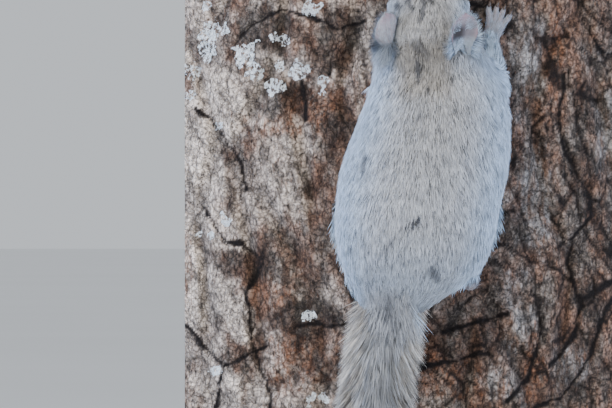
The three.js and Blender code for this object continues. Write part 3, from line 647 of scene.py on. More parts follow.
def merged(points, triangles):
    """The same surface with its shared vertices joined."""
    _, first, back = np.unique(np.round(points, 3), axis=0, return_index=True, return_inverse=True)
    tidy = back.ravel()[triangles]
    whole = (tidy[:, 0] != tidy[:, 1]) & (tidy[:, 1] != tidy[:, 2]) & (tidy[:, 2] != tidy[:, 0])
    return points[first], tidy[whole]


def vertex_normals(points, triangles):
    """Outward directions at the vertices, from the triangles round each."""
    corners = points[triangles]
    across = np.cross(corners[:, 1] - corners[:, 0], corners[:, 2] - corners[:, 0])
    sums = np.zeros_like(points)
    for k in range(3):
        np.add.at(sums, triangles[:, k], across)
    return unit(sums)


def remeshed(name, parts, swell, voxel, rounds):
    """One even, smooth surface over parts: (points, triangles) pairs, each swollen a little first."""
    points, triangles, start = [], [], 0
    for part_points, part_triangles in parts:
        part_points, part_triangles = merged(part_points, part_triangles)
        points.append(part_points + vertex_normals(part_points, part_triangles) * swell)
        triangles.append(part_triangles + start)
        start += len(part_points)
    mesh = triangle_mesh(name, np.concatenate(points), np.concatenate(triangles))
    scratch = bpy.data.objects.new(name, mesh)
    bpy.context.scene.collection.objects.link(scratch)
    remesh = scratch.modifiers.new("even", "REMESH")
    remesh.mode = "VOXEL"
    remesh.voxel_size = voxel * MM
    relax = scratch.modifiers.new("soften", "SMOOTH")
    relax.factor = 0.5
    relax.iterations = rounds
    bpy.context.view_layer.update()
    made = bpy.data.meshes.new_from_object(scratch.evaluated_get(bpy.context.evaluated_depsgraph_get()))
    bpy.data.objects.remove(scratch)
    bpy.data.meshes.remove(mesh)
    made.polygons.foreach_set("use_smooth", [True] * len(made.polygons))
    made.materials.clear()
    return made


def surface(mesh):
    """Vertices in mm, normals and triangles of a mesh."""
    points = np.empty(len(mesh.vertices) * 3, np.float32)
    normals = np.empty(len(mesh.vertices) * 3, np.float32)
    mesh.vertices.foreach_get("co", points)
    mesh.vertex_normals.foreach_get("vector", normals)
    mesh.calc_loop_triangles()
    triangles = np.empty(len(mesh.loop_triangles) * 3, np.int32)
    mesh.loop_triangles.foreach_get("vertices", triangles)
    return points.reshape(-1, 3) / MM, normals.reshape(-1, 3), triangles.reshape(-1, 3)


def move(mesh, points_mm):
    """Puts a mesh's vertices in new places."""
    mesh.vertices.foreach_set("co", (points_mm * MM).astype(np.float32).ravel())
    mesh.update()


def loft(rings, looped=False):
    """Points and faces through rings of equally many points, looped or with a face over each end."""
    sides, count = len(rings[0]), len(rings)
    points = np.concatenate(rings)
    faces = []
    for r in range(count if looped else count - 1):
        here, there = r * sides, (r + 1) % count * sides
        for i in range(sides):
            j = (i + 1) % sides
            faces.append((here + i, here + j, there + j, there + i))
    if not looped:
        faces.append(tuple(range(sides))[::-1])
        faces.append(tuple(range(len(points) - sides, len(points))))
    return points, faces


def joined(parts):
    """Points and faces of several forms as one."""
    points, faces, start = [], [], 0
    for made, sides in parts:
        points.append(made)
        faces += [tuple(i + start for i in face) for face in sides]
        start += len(made)
    return np.concatenate(points), faces


def tube(path, radii, sides=10, flat=1.0, outward=(0, -1, 0), steps=16, ends=(75, 50, 25)):
    """A round or flattened tube along a smooth path, with round ends."""
    path = np.asarray(path, float)
    knots = np.linspace(0, 1, len(path))
    times = np.linspace(0, 1, steps + 1)
    if len(path) > 2:
        curve = np.polyfit(knots, path, len(path) - 1)
        middle = np.stack([np.polyval(curve[:, k], times) for k in range(3)], 1)
    else:
        middle = mix(path[0], path[1], times[:, None])
    radius = np.interp(times, np.linspace(0, 1, len(radii)), radii)
    tangent = unit(np.gradient(middle, axis=0))
    angles = np.linspace(0, 2 * np.pi, sides, endpoint=False)

    def ring(index, along, share):
        """Points round the path, moved along it and narrowed by shares of the radius."""
        t = tangent[index]
        up = unit(np.asarray(outward, float) - t * np.dot(outward, t))
        side = np.cross(t, up)
        centre = middle[index] + t * along * radius[index]
        reach = radius[index] * share
        return centre + reach * (np.outer(np.cos(angles), side) + flat * np.outer(np.sin(angles), up))

    rounded = [(math.sin(math.radians(a)), math.cos(math.radians(a))) for a in ends]
    rings = [ring(0, -s, c) for s, c in rounded]
    rings += [ring(i, 0, 1) for i in range(steps + 1)]
    rings += [ring(steps, s, c) for s, c in rounded[::-1]]
    return loft(rings)


# Coat


def scattered(points, normals, triangles, density, random):
    """Roots spread over a surface by a density per square mm, with their triangles' corners and weights."""
    corners = points[triangles]
    area = np.linalg.norm(np.cross(corners[:, 1] - corners[:, 0], corners[:, 2] - corners[:, 0]), axis=1) / 2
    wanted = area * density[triangles].mean(axis=1)
    total = np.cumsum(wanted)
    count = int(total[-1])
    picks = np.searchsorted(total, (np.arange(count) + random.random(count)) * total[-1] / count)
    picks = np.minimum(picks, len(triangles) - 1)
    a, b = random.random(count), random.random(count)
    flip = a + b > 1
    a[flip], b[flip] = 1 - a[flip], 1 - b[flip]
    weights = np.stack((1 - a - b, a, b), 1)[:, :, None]
    corner = triangles[picks]
    roots = (points[corner] * weights).sum(axis=1)
    facing = unit((normals[corner] * weights).sum(axis=1))
    return roots, facing, corner, weights


def carried(values, corner, weights):
    """Values at the vertices carried over to the roots between them."""
    return (values[corner] * weights[:, :, 0]).sum(axis=1)


def unwrapped(points, start, end, cell):
    """A cylindrical unwrap of a form about its own axis into a cell of the map: x, y, width, height."""
    start, end = np.asarray(start, float), np.asarray(end, float)
    axis = unit(end - start)
    side = unit(np.cross(axis, (0.13, 0.99, 0.05)))
    back = np.cross(axis, side)
    from_start = points - start
    along = np.clip((from_start @ axis) / np.linalg.norm(end - start), 0, 1)
    around = np.arctan2(from_start @ side, from_start @ back) / (2 * np.pi) + 0.5
    return np.stack((cell[0] + around * cell[2], cell[1] + along * cell[3]), 1)


def clumped(roots, tips, pull, random):
    """Draws the tips of neighbouring tufts together, and gives each clump a tone."""
    count = max(int(len(roots) / CLUMP), 1)
    centres = random.choice(len(roots), count, replace=False)
    tree = KDTree(count)
    for i, centre in enumerate(centres):
        tree.insert(roots[centre], i)
    tree.balance()
    nearest = np.array([tree.find(root)[1] for root in roots])
    tones = random.random(count)[nearest]
    target = roots[centres[nearest]] + (tips - roots)[centres[nearest]]
    share = pull * (0.6 + 0.4 * random.random(len(roots)))[:, None]
    return mix(tips, target, share), tones


def tuft_paths(roots, normals, lies, lengths, lift, curve, places):
    """Points up the middle of each tuft, from under its root to its tip."""
    path, at = [roots - normals * ROOT_DEPTH], roots
    for step, place in zip(np.diff((*places, 1.0)), places):
        angle = lift * mix(1.0, curve, place + step / 2)
        heading = lies * np.cos(angle)[:, None] + normals * np.sin(angle)[:, None]
        at = at + heading * (lengths * step)[:, None]
        path.append(at)
    return path


def tuft_faces(rings):
    """The triangles of one closed tuft: its foot, the walls between its rings, and its point."""
    faces = [(0, 1, 2)]
    for r in range(rings - 1):
        for i in range(3):
            a, b = r * 3 + i, r * 3 + (i + 1) % 3
            faces += [(a, a + 3, b), (b, a + 3, b + 3)]
    last = (rings - 1) * 3
    faces += [(last + i, rings * 3, last + (i + 1) % 3) for i in range(3)]
    return np.array(faces)[:, ::-1]


def tufts(name, roots, normals, lies, lengths, widths, lift, marks_and_painted_light, uv, curve, stops, random, pull=0.25):
    """Closed, tapered tufts of three sides that rise from their roots and bend back along the lie."""
    count = len(roots)
    lift = np.broadcast_to(np.asarray(lift, float), (count,))
    places = (0.0, *stops)
    path = tuft_paths(roots, normals, lies, lengths, lift, curve, places)
    drawn, tones = clumped(roots, path[-1], pull, random)
    shift = drawn - path[-1]
    for index in range(1, len(path)):
        share = index / (len(path) - 1)
        path[index] = path[index] + shift * share**1.5
    sides = unit(np.cross(lies, normals))
    rings = []
    for centre, share in zip(path[:-1], TAPER):
        half = (widths * share / 2)[:, None]
        rings += [centre + sides * half, centre - sides * half, centre + normals * half * 0.6]
    per = len(rings) + 1
    points = np.stack((*rings, path[-1]), axis=1)
    starts = (np.arange(count) * per)[:, None, None]
    triangles = (tuft_faces(len(path) - 1)[None] + starts).reshape(-1, 3)
    mesh = triangle_mesh(name, points.reshape(-1, 3), triangles)
    along = np.array([place for place in places for _ in range(3)] + [1.0])
    strand = np.ones((count, per, 4), np.float32)
    strand[:, :, 0] = along
    strand[:, :, 1] = random.random(count)[:, None]
    strand[:, :, 2] = tones[:, None]
    attribute(mesh, "strand", strand.reshape(-1, 4))
    attribute(mesh, "marks_and_painted_light", np.repeat(marks_and_painted_light, per, axis=0))
    local = np.array([(i % 3 / 2, place) for i, place in enumerate(along)]) * TUFT_PATCH
    spots = (uv[:, None, :] + local[None]).reshape(-1, 2)
    layer = mesh.uv_layers.new(name="OFBake")
    layer.data.foreach_set("uv", spots[triangles.ravel()].astype(np.float32).ravel())
    soft = np.repeat(normals, per, axis=0).reshape(count, per, 3)
    own = unit(points - np.stack(path[:-1], 1).mean(axis=1)[:, None])
    mesh.normals_split_custom_set_from_vertices(unit(soft * 0.8 + own * 0.2).reshape(-1, 3).tolist())
    return mesh


def in_pieces(count, triangles_each):
    """Even shares of a coat, each under the most triangles a piece may have."""
    shares = math.ceil(count * triangles_each / PIECE_TRIANGLES)
    return np.array_split(np.arange(count), shares)


def spine(z):
    """The body's middle line and half width at a height, in mm."""
    up = np.asarray(z, float) - TAIL_ROOT_Z
    return np.interp(up, SPINE["up"], SPINE["side"]), np.interp(up, SPINE["up"], SPINE["half"])


def near_line(points, a, b):
    """Distance of points from a line's stretch."""
    a, b = np.asarray(a, float), np.asarray(b, float)
    along = np.clip(((points - a) @ (b - a)) / max(((b - a) ** 2).sum(), 1e-9), 0, 1)
    return np.linalg.norm(points - (a + along[:, None] * (b - a)), axis=1)


def near_path(points, path):
    """Distance of points from the nearest stretch of a path."""
    return np.minimum.reduce([near_line(points, a, b) for a, b in zip(path[:-1], path[1:])])


def on_head(points):
    """1 on the head, fading to 0 over the neck."""
    return within((head_place(points)[:, 0], -26, 0), (points[:, 2], 238, 262))


def near_tail_root(points):
    """1 where the rump's hair flows over the root of the tail."""
    x, _, z = points.T
    aside = np.abs(x - TAIL_ROOT_X) - (160 - z) * 0.3
    return within((aside, 11, 6), (z, 168, 160))


def eye_distance(points):
    """Distance from the middle of the nearer eye's opening."""
    near = np.full(len(points), FAR)
    for side in (-1, 1):
        centre, look = eye_frame(side)
        near = np.minimum(near, np.linalg.norm(points - (centre + look * 2.5), axis=1))
    return near


def coat_marks_and_painted_light(points, normals):
    """Flank with its painted sky blue, warmth, dark marks with painted shade, and belly at each point, the
    same for skin and coat.
    """
    x, y, z = points.T
    u, v, w = head_place(points).T
    middle, half = spine(z)
    aside = np.abs(x - middle) / half
    headed = on_head(points) * smooth(np.abs(v), 21, 17)
    # Painted bluish sky light on the sides and low on the body comes in with the flank colour
    flank_and_sky_blue = smooth(aside, 0.4, 1.0) * (1 - 0.5 * headed)
    flank_and_sky_blue = np.maximum(flank_and_sky_blue, smooth(z, 190, 160) * 0.4) * (1 - near_tail_root(points))
    warm_back = within((aside, 0.7, 0.1), (z, 165, 250)) * 0.5
    warm_crown = headed * smooth(w, 2, 12) * 0.6
    warm_nape = within((np.abs(x - NAPE_X), 18, 5), (z, 232, 244), (z, 270, 258))
    warm = np.maximum.reduce((warm_back, warm_crown, warm_nape))
    under = within((face_y(x) - y, 15, 6), (normals[:, 1], -0.2, 0.25)) * (1 - headed)
    throat = headed * np.maximum(smooth(w, -2, -8), smooth(u, 20, 30) * 0.35)
    dark = dark_marks_and_shade(points, normals, aside, headed)
    return np.stack((flank_and_sky_blue, warm, dark, np.maximum(under, throat)), 1)


def dark_marks_and_shade(points, normals, aside, headed):
    """Dark spots and the eye rings, with painted shade in the partings, on the arm and on the nape, and
    darker over the tail's root.
    """
    x, _, z = points.T
    parting = within((np.abs(x - TAIL_ROOT_X) - (158 - z) * 0.2, 4.5, 0), (z, 146, 154))
    dark = near_tail_root(points) * mix(0.12, 0.62, parting)
    behind = smooth(-normals[:, 1], -0.1, 0.3)
    flat = np.stack((x, np.zeros_like(x), z), 1)
    # Painted shade in the partings and in the crease under the head's fur, among the real dark marks
    for x0, z0, x1, z1, radius, strength in DARK_MARKS_AND_SHADE:
        near = near_line(flat, (x0, 0, z0), (x1, 0, z1))
        dark = np.maximum(dark, strength * behind * smooth(near, radius * 2.0, radius * 0.8))
    # Painted shade on the arm and on the nape
    arm = within((z, 240, 252), (aside, 0.95, 1.25)) * (1 - headed)
    nape = within((np.abs(x - NAPE_X), 16, 5), (z, 236, 246), (z, 268, 258))
    ring = smooth(eye_distance(points), 7.4, 5.8)
    return np.maximum.reduce((dark, 0.2 * arm, 0.14 * nape, 0.8 * ring))


def coat_lie(points, normals, labels):
    """The way the hair lies: back over the head, down and out over the body, along each limb."""
    x, y, z = points.T
    u, v, _ = head_place(points).T
    middle, half = spine(z)
    outward = np.clip((x - middle) / half, -1, 1)
    lie = np.stack((outward * 0.45 * smooth(z, 165, 200), np.full_like(x, 0.05), -np.ones_like(x)), 1)
    to_tail = unit(np.stack((-14 - x, face_y(x) - 9 - y, 140 - z), 1))
    lie = mix(lie, to_tail, smooth(z, 185, 160)[:, None] * 0.7)
    over_root = np.stack(((x - TAIL_ROOT_X) * 0.05, -np.full_like(x, 0.1), -np.ones_like(x)), 1)
    lie = mix(lie, over_root, near_tail_root(points)[:, None])
    flare = mix(0.35, 0.9, within((u, 4, -8), (np.abs(v), 10, 16)))
    back = -HEAD_AXES[0] + HEAD_AXES[1] * (np.clip(v / 16, -1, 1) * flare)[:, None]
    lie = mix(lie, back, on_head(points)[:, None])
    for index in LIMB_LABELS:
        limb = LIMBS[FLESH[index].rsplit("_", 1)[0]]
        start, end = over(*limb["elbow"]), over(*limb["wrist"])
        limbed = labels == index
        along = ((points[limbed] - start) @ (end - start)) / ((end - start) ** 2).sum()
        lie[limbed] = mix(unit(lie[limbed]), unit(end - start), smooth(along, 0.1, 0.6)[:, None])
    return along_surface(lie, normals)


def skin_regions(points):
    """For each point, which of the flesh solids it is nearest to."""
    corners, faces, owner, start = [], [], [], 0
    for index, name in enumerate(FLESH):
        part_points, part_triangles = node_arrays(name)
        corners.append(part_points)
        faces.append(part_triangles + start)
        owner += [index] * len(part_triangles)
        start += len(part_points)
    tree = BVHTree.FromPolygons(np.concatenate(corners).tolist(), np.concatenate(faces).tolist())
    return np.array([owner[tree.find_nearest(point)[2]] for point in points.tolist()])


def coat_depth(points, labels, depth):
    """How far the skin lies under the coat's outline in mm, least on the face and the limbs."""
    u = head_place(points)[:, 0]
    headed = on_head(points)
    thick = np.full(len(points), depth)
    thick = mix(thick, 2.0, headed)
    thick = mix(thick, 0.7, headed * smooth(u, 12, 25))
    thick = mix(thick, 0.25, headed * smooth(u, 26, 31))
    thick = mix(0.5, thick, smooth(eye_distance(points), 6, 10))
    thick[np.isin(labels, LIMB_LABELS)] = 1.2
    return thick


class SQUIRREL_OT_skin(bpy.types.Operator):
    """Makes one skin under the coat in place of the solids of flesh"""

    bl_idname = "squirrel.skin"
    bl_label = "Skin"

    def execute(self, context):
        coat = context.scene.squirrel_coat
        mesh = remeshed("skin", [node_arrays(name) for name in FLESH], 0.35, 0.9, 14)
        points, normals, _ = surface(mesh)
        labels = skin_regions(points)
        thick = coat_depth(points, labels, coat.depth / MM)
        move(mesh, points - normals * thick[:, None])
        carve_mouth(mesh)
        soften(mesh, 3)
        x, y, z = points.T
        nape = within((z, 236, 246), (z, 268, 256), (face_y(x) - y, 12, 22))
        soften(mesh, 90, nape)
        points, normals, _ = surface(mesh)
        attribute(mesh, "marks_and_painted_light", coat_marks_and_painted_light(points, normals))
        layer = mesh.attributes.new("region", "INT", "POINT")
        layer.data.foreach_set("value", labels.astype(np.int32))
        placed("skin", mesh, under_fur_material(coat, context.scene.squirrel_skin), FLESH)
        return {"FINISHED"}


def soften(mesh, rounds, share=1.0):
    """Evens a mesh out along its edges, by a share at each vertex."""
    share = 0.5 * np.broadcast_to(share, len(mesh.vertices))[:, None]
    edges = np.empty(len(mesh.edges) * 2, np.int32)
    mesh.edges.foreach_get("vertices", edges)
    edges = edges.reshape(-1, 2)
    points, _, _ = surface(mesh)
    for _ in range(rounds):
        sums = np.zeros_like(points)
        counts = np.zeros(len(points))
        for a, b in ((0, 1), (1, 0)):
            np.add.at(sums, edges[:, a], points[edges[:, b]])
            np.add.at(counts, edges[:, a], 1)
        points = mix(points, sums / counts[:, None], share)
    move(mesh, points)


def carve_mouth(mesh):
    """Presses the line of the mouth and the split of the upper lip into the muzzle."""
    points, normals, _ = surface(mesh)
    share = np.linspace(-1, 1, 25)
    bow = 1 - np.abs(share) ** 1.6
    line = np.stack([in_head(mix(20.5, 32.2, b), 7.8 * s, mix(-9, -5.9, b)) for s, b in zip(share, bow)])
    near = near_path(points, line)
    split = near_line(points, in_head(33, 0, -1), in_head(32, 0, -6))
    press = 0.9 * smooth(near, 1.5, 0.3) + 0.5 * smooth(split, 1.1, 0.2)
    lip = 0.35 * (smooth(near, 0.9, 1.6) - smooth(near, 1.8, 3.0))
    move(mesh, points + normals * (lip - press)[:, None])


def hair_growth(points, normals, labels, looks):
    """Length and width of a tuft in mm and tufts per square mm, at each point of the skin."""
    u, v, _ = head_place(points).T
    headed = on_head(points)
    muzzle = headed * smooth(u, 15, 27)
    cheek = headed * within((u, 8, -4), (np.abs(v), 12, 17))
    over_tail = near_tail_root(points) * smooth(points[:, 2], 168, 154)
    hidden = smooth(face_y(points[:, 0]) - points[:, 1], 3.5, 1.0) * (1 - headed)
    limbed = np.isin(labels, LIMB_LABELS)
    head, limb = HAIR["head"], HAIR["limb"]
    length = mix(looks.body_length / MM, head["length"], headed)
    for part, share in (("cheek", cheek), ("muzzle", muzzle), ("over_tail", over_tail)):
        length = mix(length, HAIR[part]["length"], share)
    length = np.where(limbed, limb["length"], length) * mix(1.0, 0.55, hidden)
    width = mix(mix(looks.body_width / MM, head["width"], headed), HAIR["muzzle"]["width"], muzzle)
    width = np.where(limbed, limb["width"], width)
    density = mix(mix(HAIR["body"]["density"], head["density"], headed), HAIR["muzzle"]["density"], muzzle)
    density = density * mix(1.0, 0.3, hidden) * mix(1.0, 0.4, smooth(normals[:, 1], 0.0, 0.4))
    density = np.where(limbed, limb["density"], density)
    eyes = eye_distance(points)
    nose = np.linalg.norm(points - in_head(32.6, 0, 0.2), axis=1)
    return length * mix(0.4, 1.0, smooth(eyes, 5.4, 9)), width, density * (eyes > 5.4) * (nose > 2.6)


def up_the_ears(roots, facing, lies):
    """Turns the hair round each ear's foot to climb it."""
    for ear in EARS.values():
        lean = np.array(ear["lean"]) @ HEAD_AXES
        away = roots - (in_head(*ear["root"]) + unit(lean) * 2.5)
        near = smooth(np.linalg.norm(away, axis=1), 7.5, 3.5)[:, None]
        lies = mix(lies, unit(lean + unit(away) * 0.35), near * 0.85)
        lies = along_surface(lies, facing, 0.6)
    return lies


def over_the_tail(roots, facing, lies):
    """Lets the rump's hair fall straight down over the root of the tail."""
    falls = (near_tail_root(roots) * smooth(roots[:, 2], 164, 154))[:, None]
    count = len(roots)
    down = np.stack(((roots[:, 0] - TAIL_ROOT_X) * 0.03, np.full(count, 0.3), -np.ones(count)), 1)
    lies = unit(mix(lies, unit(down), falls))
    facing = unit(mix(facing, np.array((0, -1.0, -0.2)), falls))
    return along_surface(facing, lies), lies


def raised(roots, lengths, random):
    """How steeply each tuft rises, and its length, both less at the membranes' edges and on the hips."""
    z = roots[:, 2]
    middle, half = spine(z)
    edge = within((face_y(roots[:, 0]) - roots[:, 1], 11, 5), (z, 246, 236))
    hip = within((np.abs(roots[:, 0] - middle) / half, 0.75, 0.95), (z, 216, 204))
    lift = np.radians(26 + 10 * random.random(len(roots))) * (1 - 0.75 * edge) * (1 - 0.3 * hip)
    return lift, lengths * (1 - 0.3 * edge) * (1 - 0.08 * hip)


class SQUIRREL_OT_coat(bpy.types.Operator):
    """Grows the coat of body, head and limbs over the skin in closed tufts"""

    bl_idname = "squirrel.coat"
    bl_label = "Coat"

    def execute(self, context):
        looks = context.scene.squirrel_coat
        random = np.random.default_rng(SEED)
        mesh = bpy.data.objects["skin"].data
        points, normals, triangles = surface(mesh)
        labels = np.empty(len(points), np.int32)
        mesh.attributes["region"].data.foreach_get("value", labels)
        length, width, density = hair_growth(points, normals, labels, looks)
        roots, facing, corner, weights = scattered(points, normals, triangles, density, random)
        lengths = varied(carried(length, corner, weights), 0.25, random)
        widths = varied(carried(width, corner, weights), 0.25, random)
        lies = coat_lie(roots, facing, labels[corner[:, 0]])
        lies = up_the_ears(roots, facing, lies)
        facing, lies = over_the_tail(roots, facing, lies)
        sway = random.normal(0, 0.22, len(roots))[:, None]
        lies = unit(lies + np.cross(facing, lies) * sway)
        lift, lengths = raised(roots, lengths, random)
        spots = coat_marks_and_painted_light(roots + lies * (lengths * 0.6)[:, None], facing)
        of_head = carried(on_head(points), corner, weights) > 0.5
        body_uv = unwrapped(roots, over(-10, 18, 146), over(4, 22, 262), (0.02, 0.02, 0.62, 0.95))
        head_uv = unwrapped(roots, in_head(-20, 0, 0), in_head(34, 0, 0), (0.67, 0.02, 0.3, 0.95))
        uv = np.where(of_head[:, None], head_uv, body_uv)
        material = fur_material("winter_fur", looks, looks.belly)
        order = np.argsort(roots[:, 2])
        fields = (roots, facing, lies, lengths, widths, lift, spots, uv)
        for number, share in enumerate(in_pieces(len(roots), 10), 1):
            name = f"coat_{number}"
            made = tufts(name, *[field[order[share]] for field in fields], 0.1, (0.5,), random)
            placed(name, made, material)
        return {"FINISHED"}


def tail_frame(down):
    """The tail's middle, half width and the tail's own downward direction, by distance below its root."""
    side = np.interp(down, TAIL["down"], TAIL["side"])
    half = np.interp(down, TAIL["down"], TAIL["half"])
    ahead = np.interp(down + 2, TAIL["down"], TAIL["side"])
    middle = np.stack((side, face_y(side) - TAIL_OVER, TAIL_ROOT_Z - down), -1)
    heading = unit(np.stack((ahead - side, np.zeros_like(side), np.full_like(side, -2.0)), -1))
    return middle, half, heading


class SQUIRREL_OT_tail(bpy.types.Operator):
    """Makes the tail: a slim core with long hair that sweeps down and out to flat edges"""

    bl_idname = "squirrel.tail"
    bl_label = "Tail"

    def execute(self, context):
        looks = context.scene.squirrel_coat
        stops = np.linspace(-10, TAIL_LENGTH - TAIL_HAIR["bare_end"], len(TAIL_CORE))
        middle, _, _ = tail_frame(stops)
        mesh = mesh_from("tail_core", *tube(middle, TAIL_CORE, sides=16, flat=TAIL_FLAT, steps=60))
        attribute(mesh, "marks_and_painted_light", np.tile((0.3, 0.1, 0.3, 0.0), (len(mesh.vertices), 1)))
        skin = bpy.data.objects["skin"].data.materials[0]
        placed("tail_core", mesh, skin, ("tail",))
        self.hair(looks, stops, np.random.default_rng(SEED + 1))
        return {"FINISHED"}

    def hair(self, looks, stops, random):
        """Hair all round the core that sweeps down and out, longest at the edges."""
        count = TAIL_HAIR["count"]
        down = mix(-8.0, TAIL_LENGTH - TAIL_HAIR["bare_end"], np.sort(random.random(count)) ** 0.92)
        middle, half, heading = tail_frame(down)
        around = random.random(count) * 2 * np.pi
        around = around - 0.3 * np.sin(around)
        edge, topside = np.sin(around), np.cos(around)
        aside = np.abs(edge)
        core = np.interp(down, stops, TAIL_CORE)
        across, outward = np.array((1.0, 0, 0)), np.array((0, -1.0, 0))
        facing = unit(np.outer(edge, across) + np.outer(topside * TAIL_FLAT, outward))
        roots = middle + np.outer(edge * core, across) + np.outer(topside * core * TAIL_FLAT, outward)
        near_root = smooth(down, 16, -6)
        splay = np.radians(mix(38, 54, near_root)) * aside**0.8 * np.sign(edge)
        lies = unit(heading * np.cos(splay)[:, None] + np.outer(np.sin(splay), across))
        facing = along_surface(facing, lies)
        reach = np.interp(down + 12, TAIL["down"], TAIL["half"]) - core * aside
        to_edge = reach / np.maximum(np.sin(np.abs(splay)), 0.2)
        full = mix(TAIL_HAIR["middle_length"], looks.tail_length / MM, aside)
        length = np.minimum(full, np.maximum(to_edge, TAIL_HAIR["least_length"]))
        length = 0.9 * varied(np.minimum(length, TAIL_LENGTH + 1 - down), 0.2, random)
        lift = np.radians(mix(15, 8, aside) + 16 * near_root) * np.where(topside < 0, 0.5, 1.0)
        lies = unit(lies + np.cross(facing, lies) * random.normal(0, 0.24, count)[:, None])
        off_middle = (roots + lies * length[:, None] * 0.7)[:, 0] - middle[:, 0]
        spots = self.marks_and_painted_light(off_middle, half, down, np.abs(roots[:, 0] + 13))
        uv = unwrapped(roots, middle[0], middle[-1], (0.02, 0.02, 0.95, 0.95))
        widths = varied(np.full(count, TAIL_HAIR["width"]), 0.3, random)
        material = fur_material("tail_hair", looks, looks.cream, 0.2, 0.84)
        fields = (roots, facing, lies, length, widths, lift, spots, uv)
        for number, part in enumerate(in_pieces(count, 16), 1):
            name = f"tail_coat_{number}"
            made = tufts(name, *[field[part] for field in fields], -0.2, (0.34, 0.68), random, 0.5)
            placed(name, made, material)

    def marks_and_painted_light(self, off_middle, half, down, beside):
        """Cream towards both edges, a dark streak down the middle, darkest at the root and the tip, with
        painted light that makes the right side creamier.
        """
        tip = np.abs(off_middle) / np.maximum(half, 1)
        pale = smooth(tip, 0.3, 0.85)
        dark = smooth(tip, 0.62, 0.12) * mix(0.38, 0.72, smooth(down, 15, 70))
        dark = np.maximum(dark, 0.55 * within((down, 8, -6), (beside, 9, 3)))
        # Painted light: creamier and less dark towards the right, the side that the lamps leave in shade
        right = smooth(off_middle, 3, 13)
        cream = np.minimum(0.85 * pale + 0.3 * right, 1)
        return np.stack((0 * pale, 0.15 * pale, dark * (1 - 0.5 * right), cream), 1)


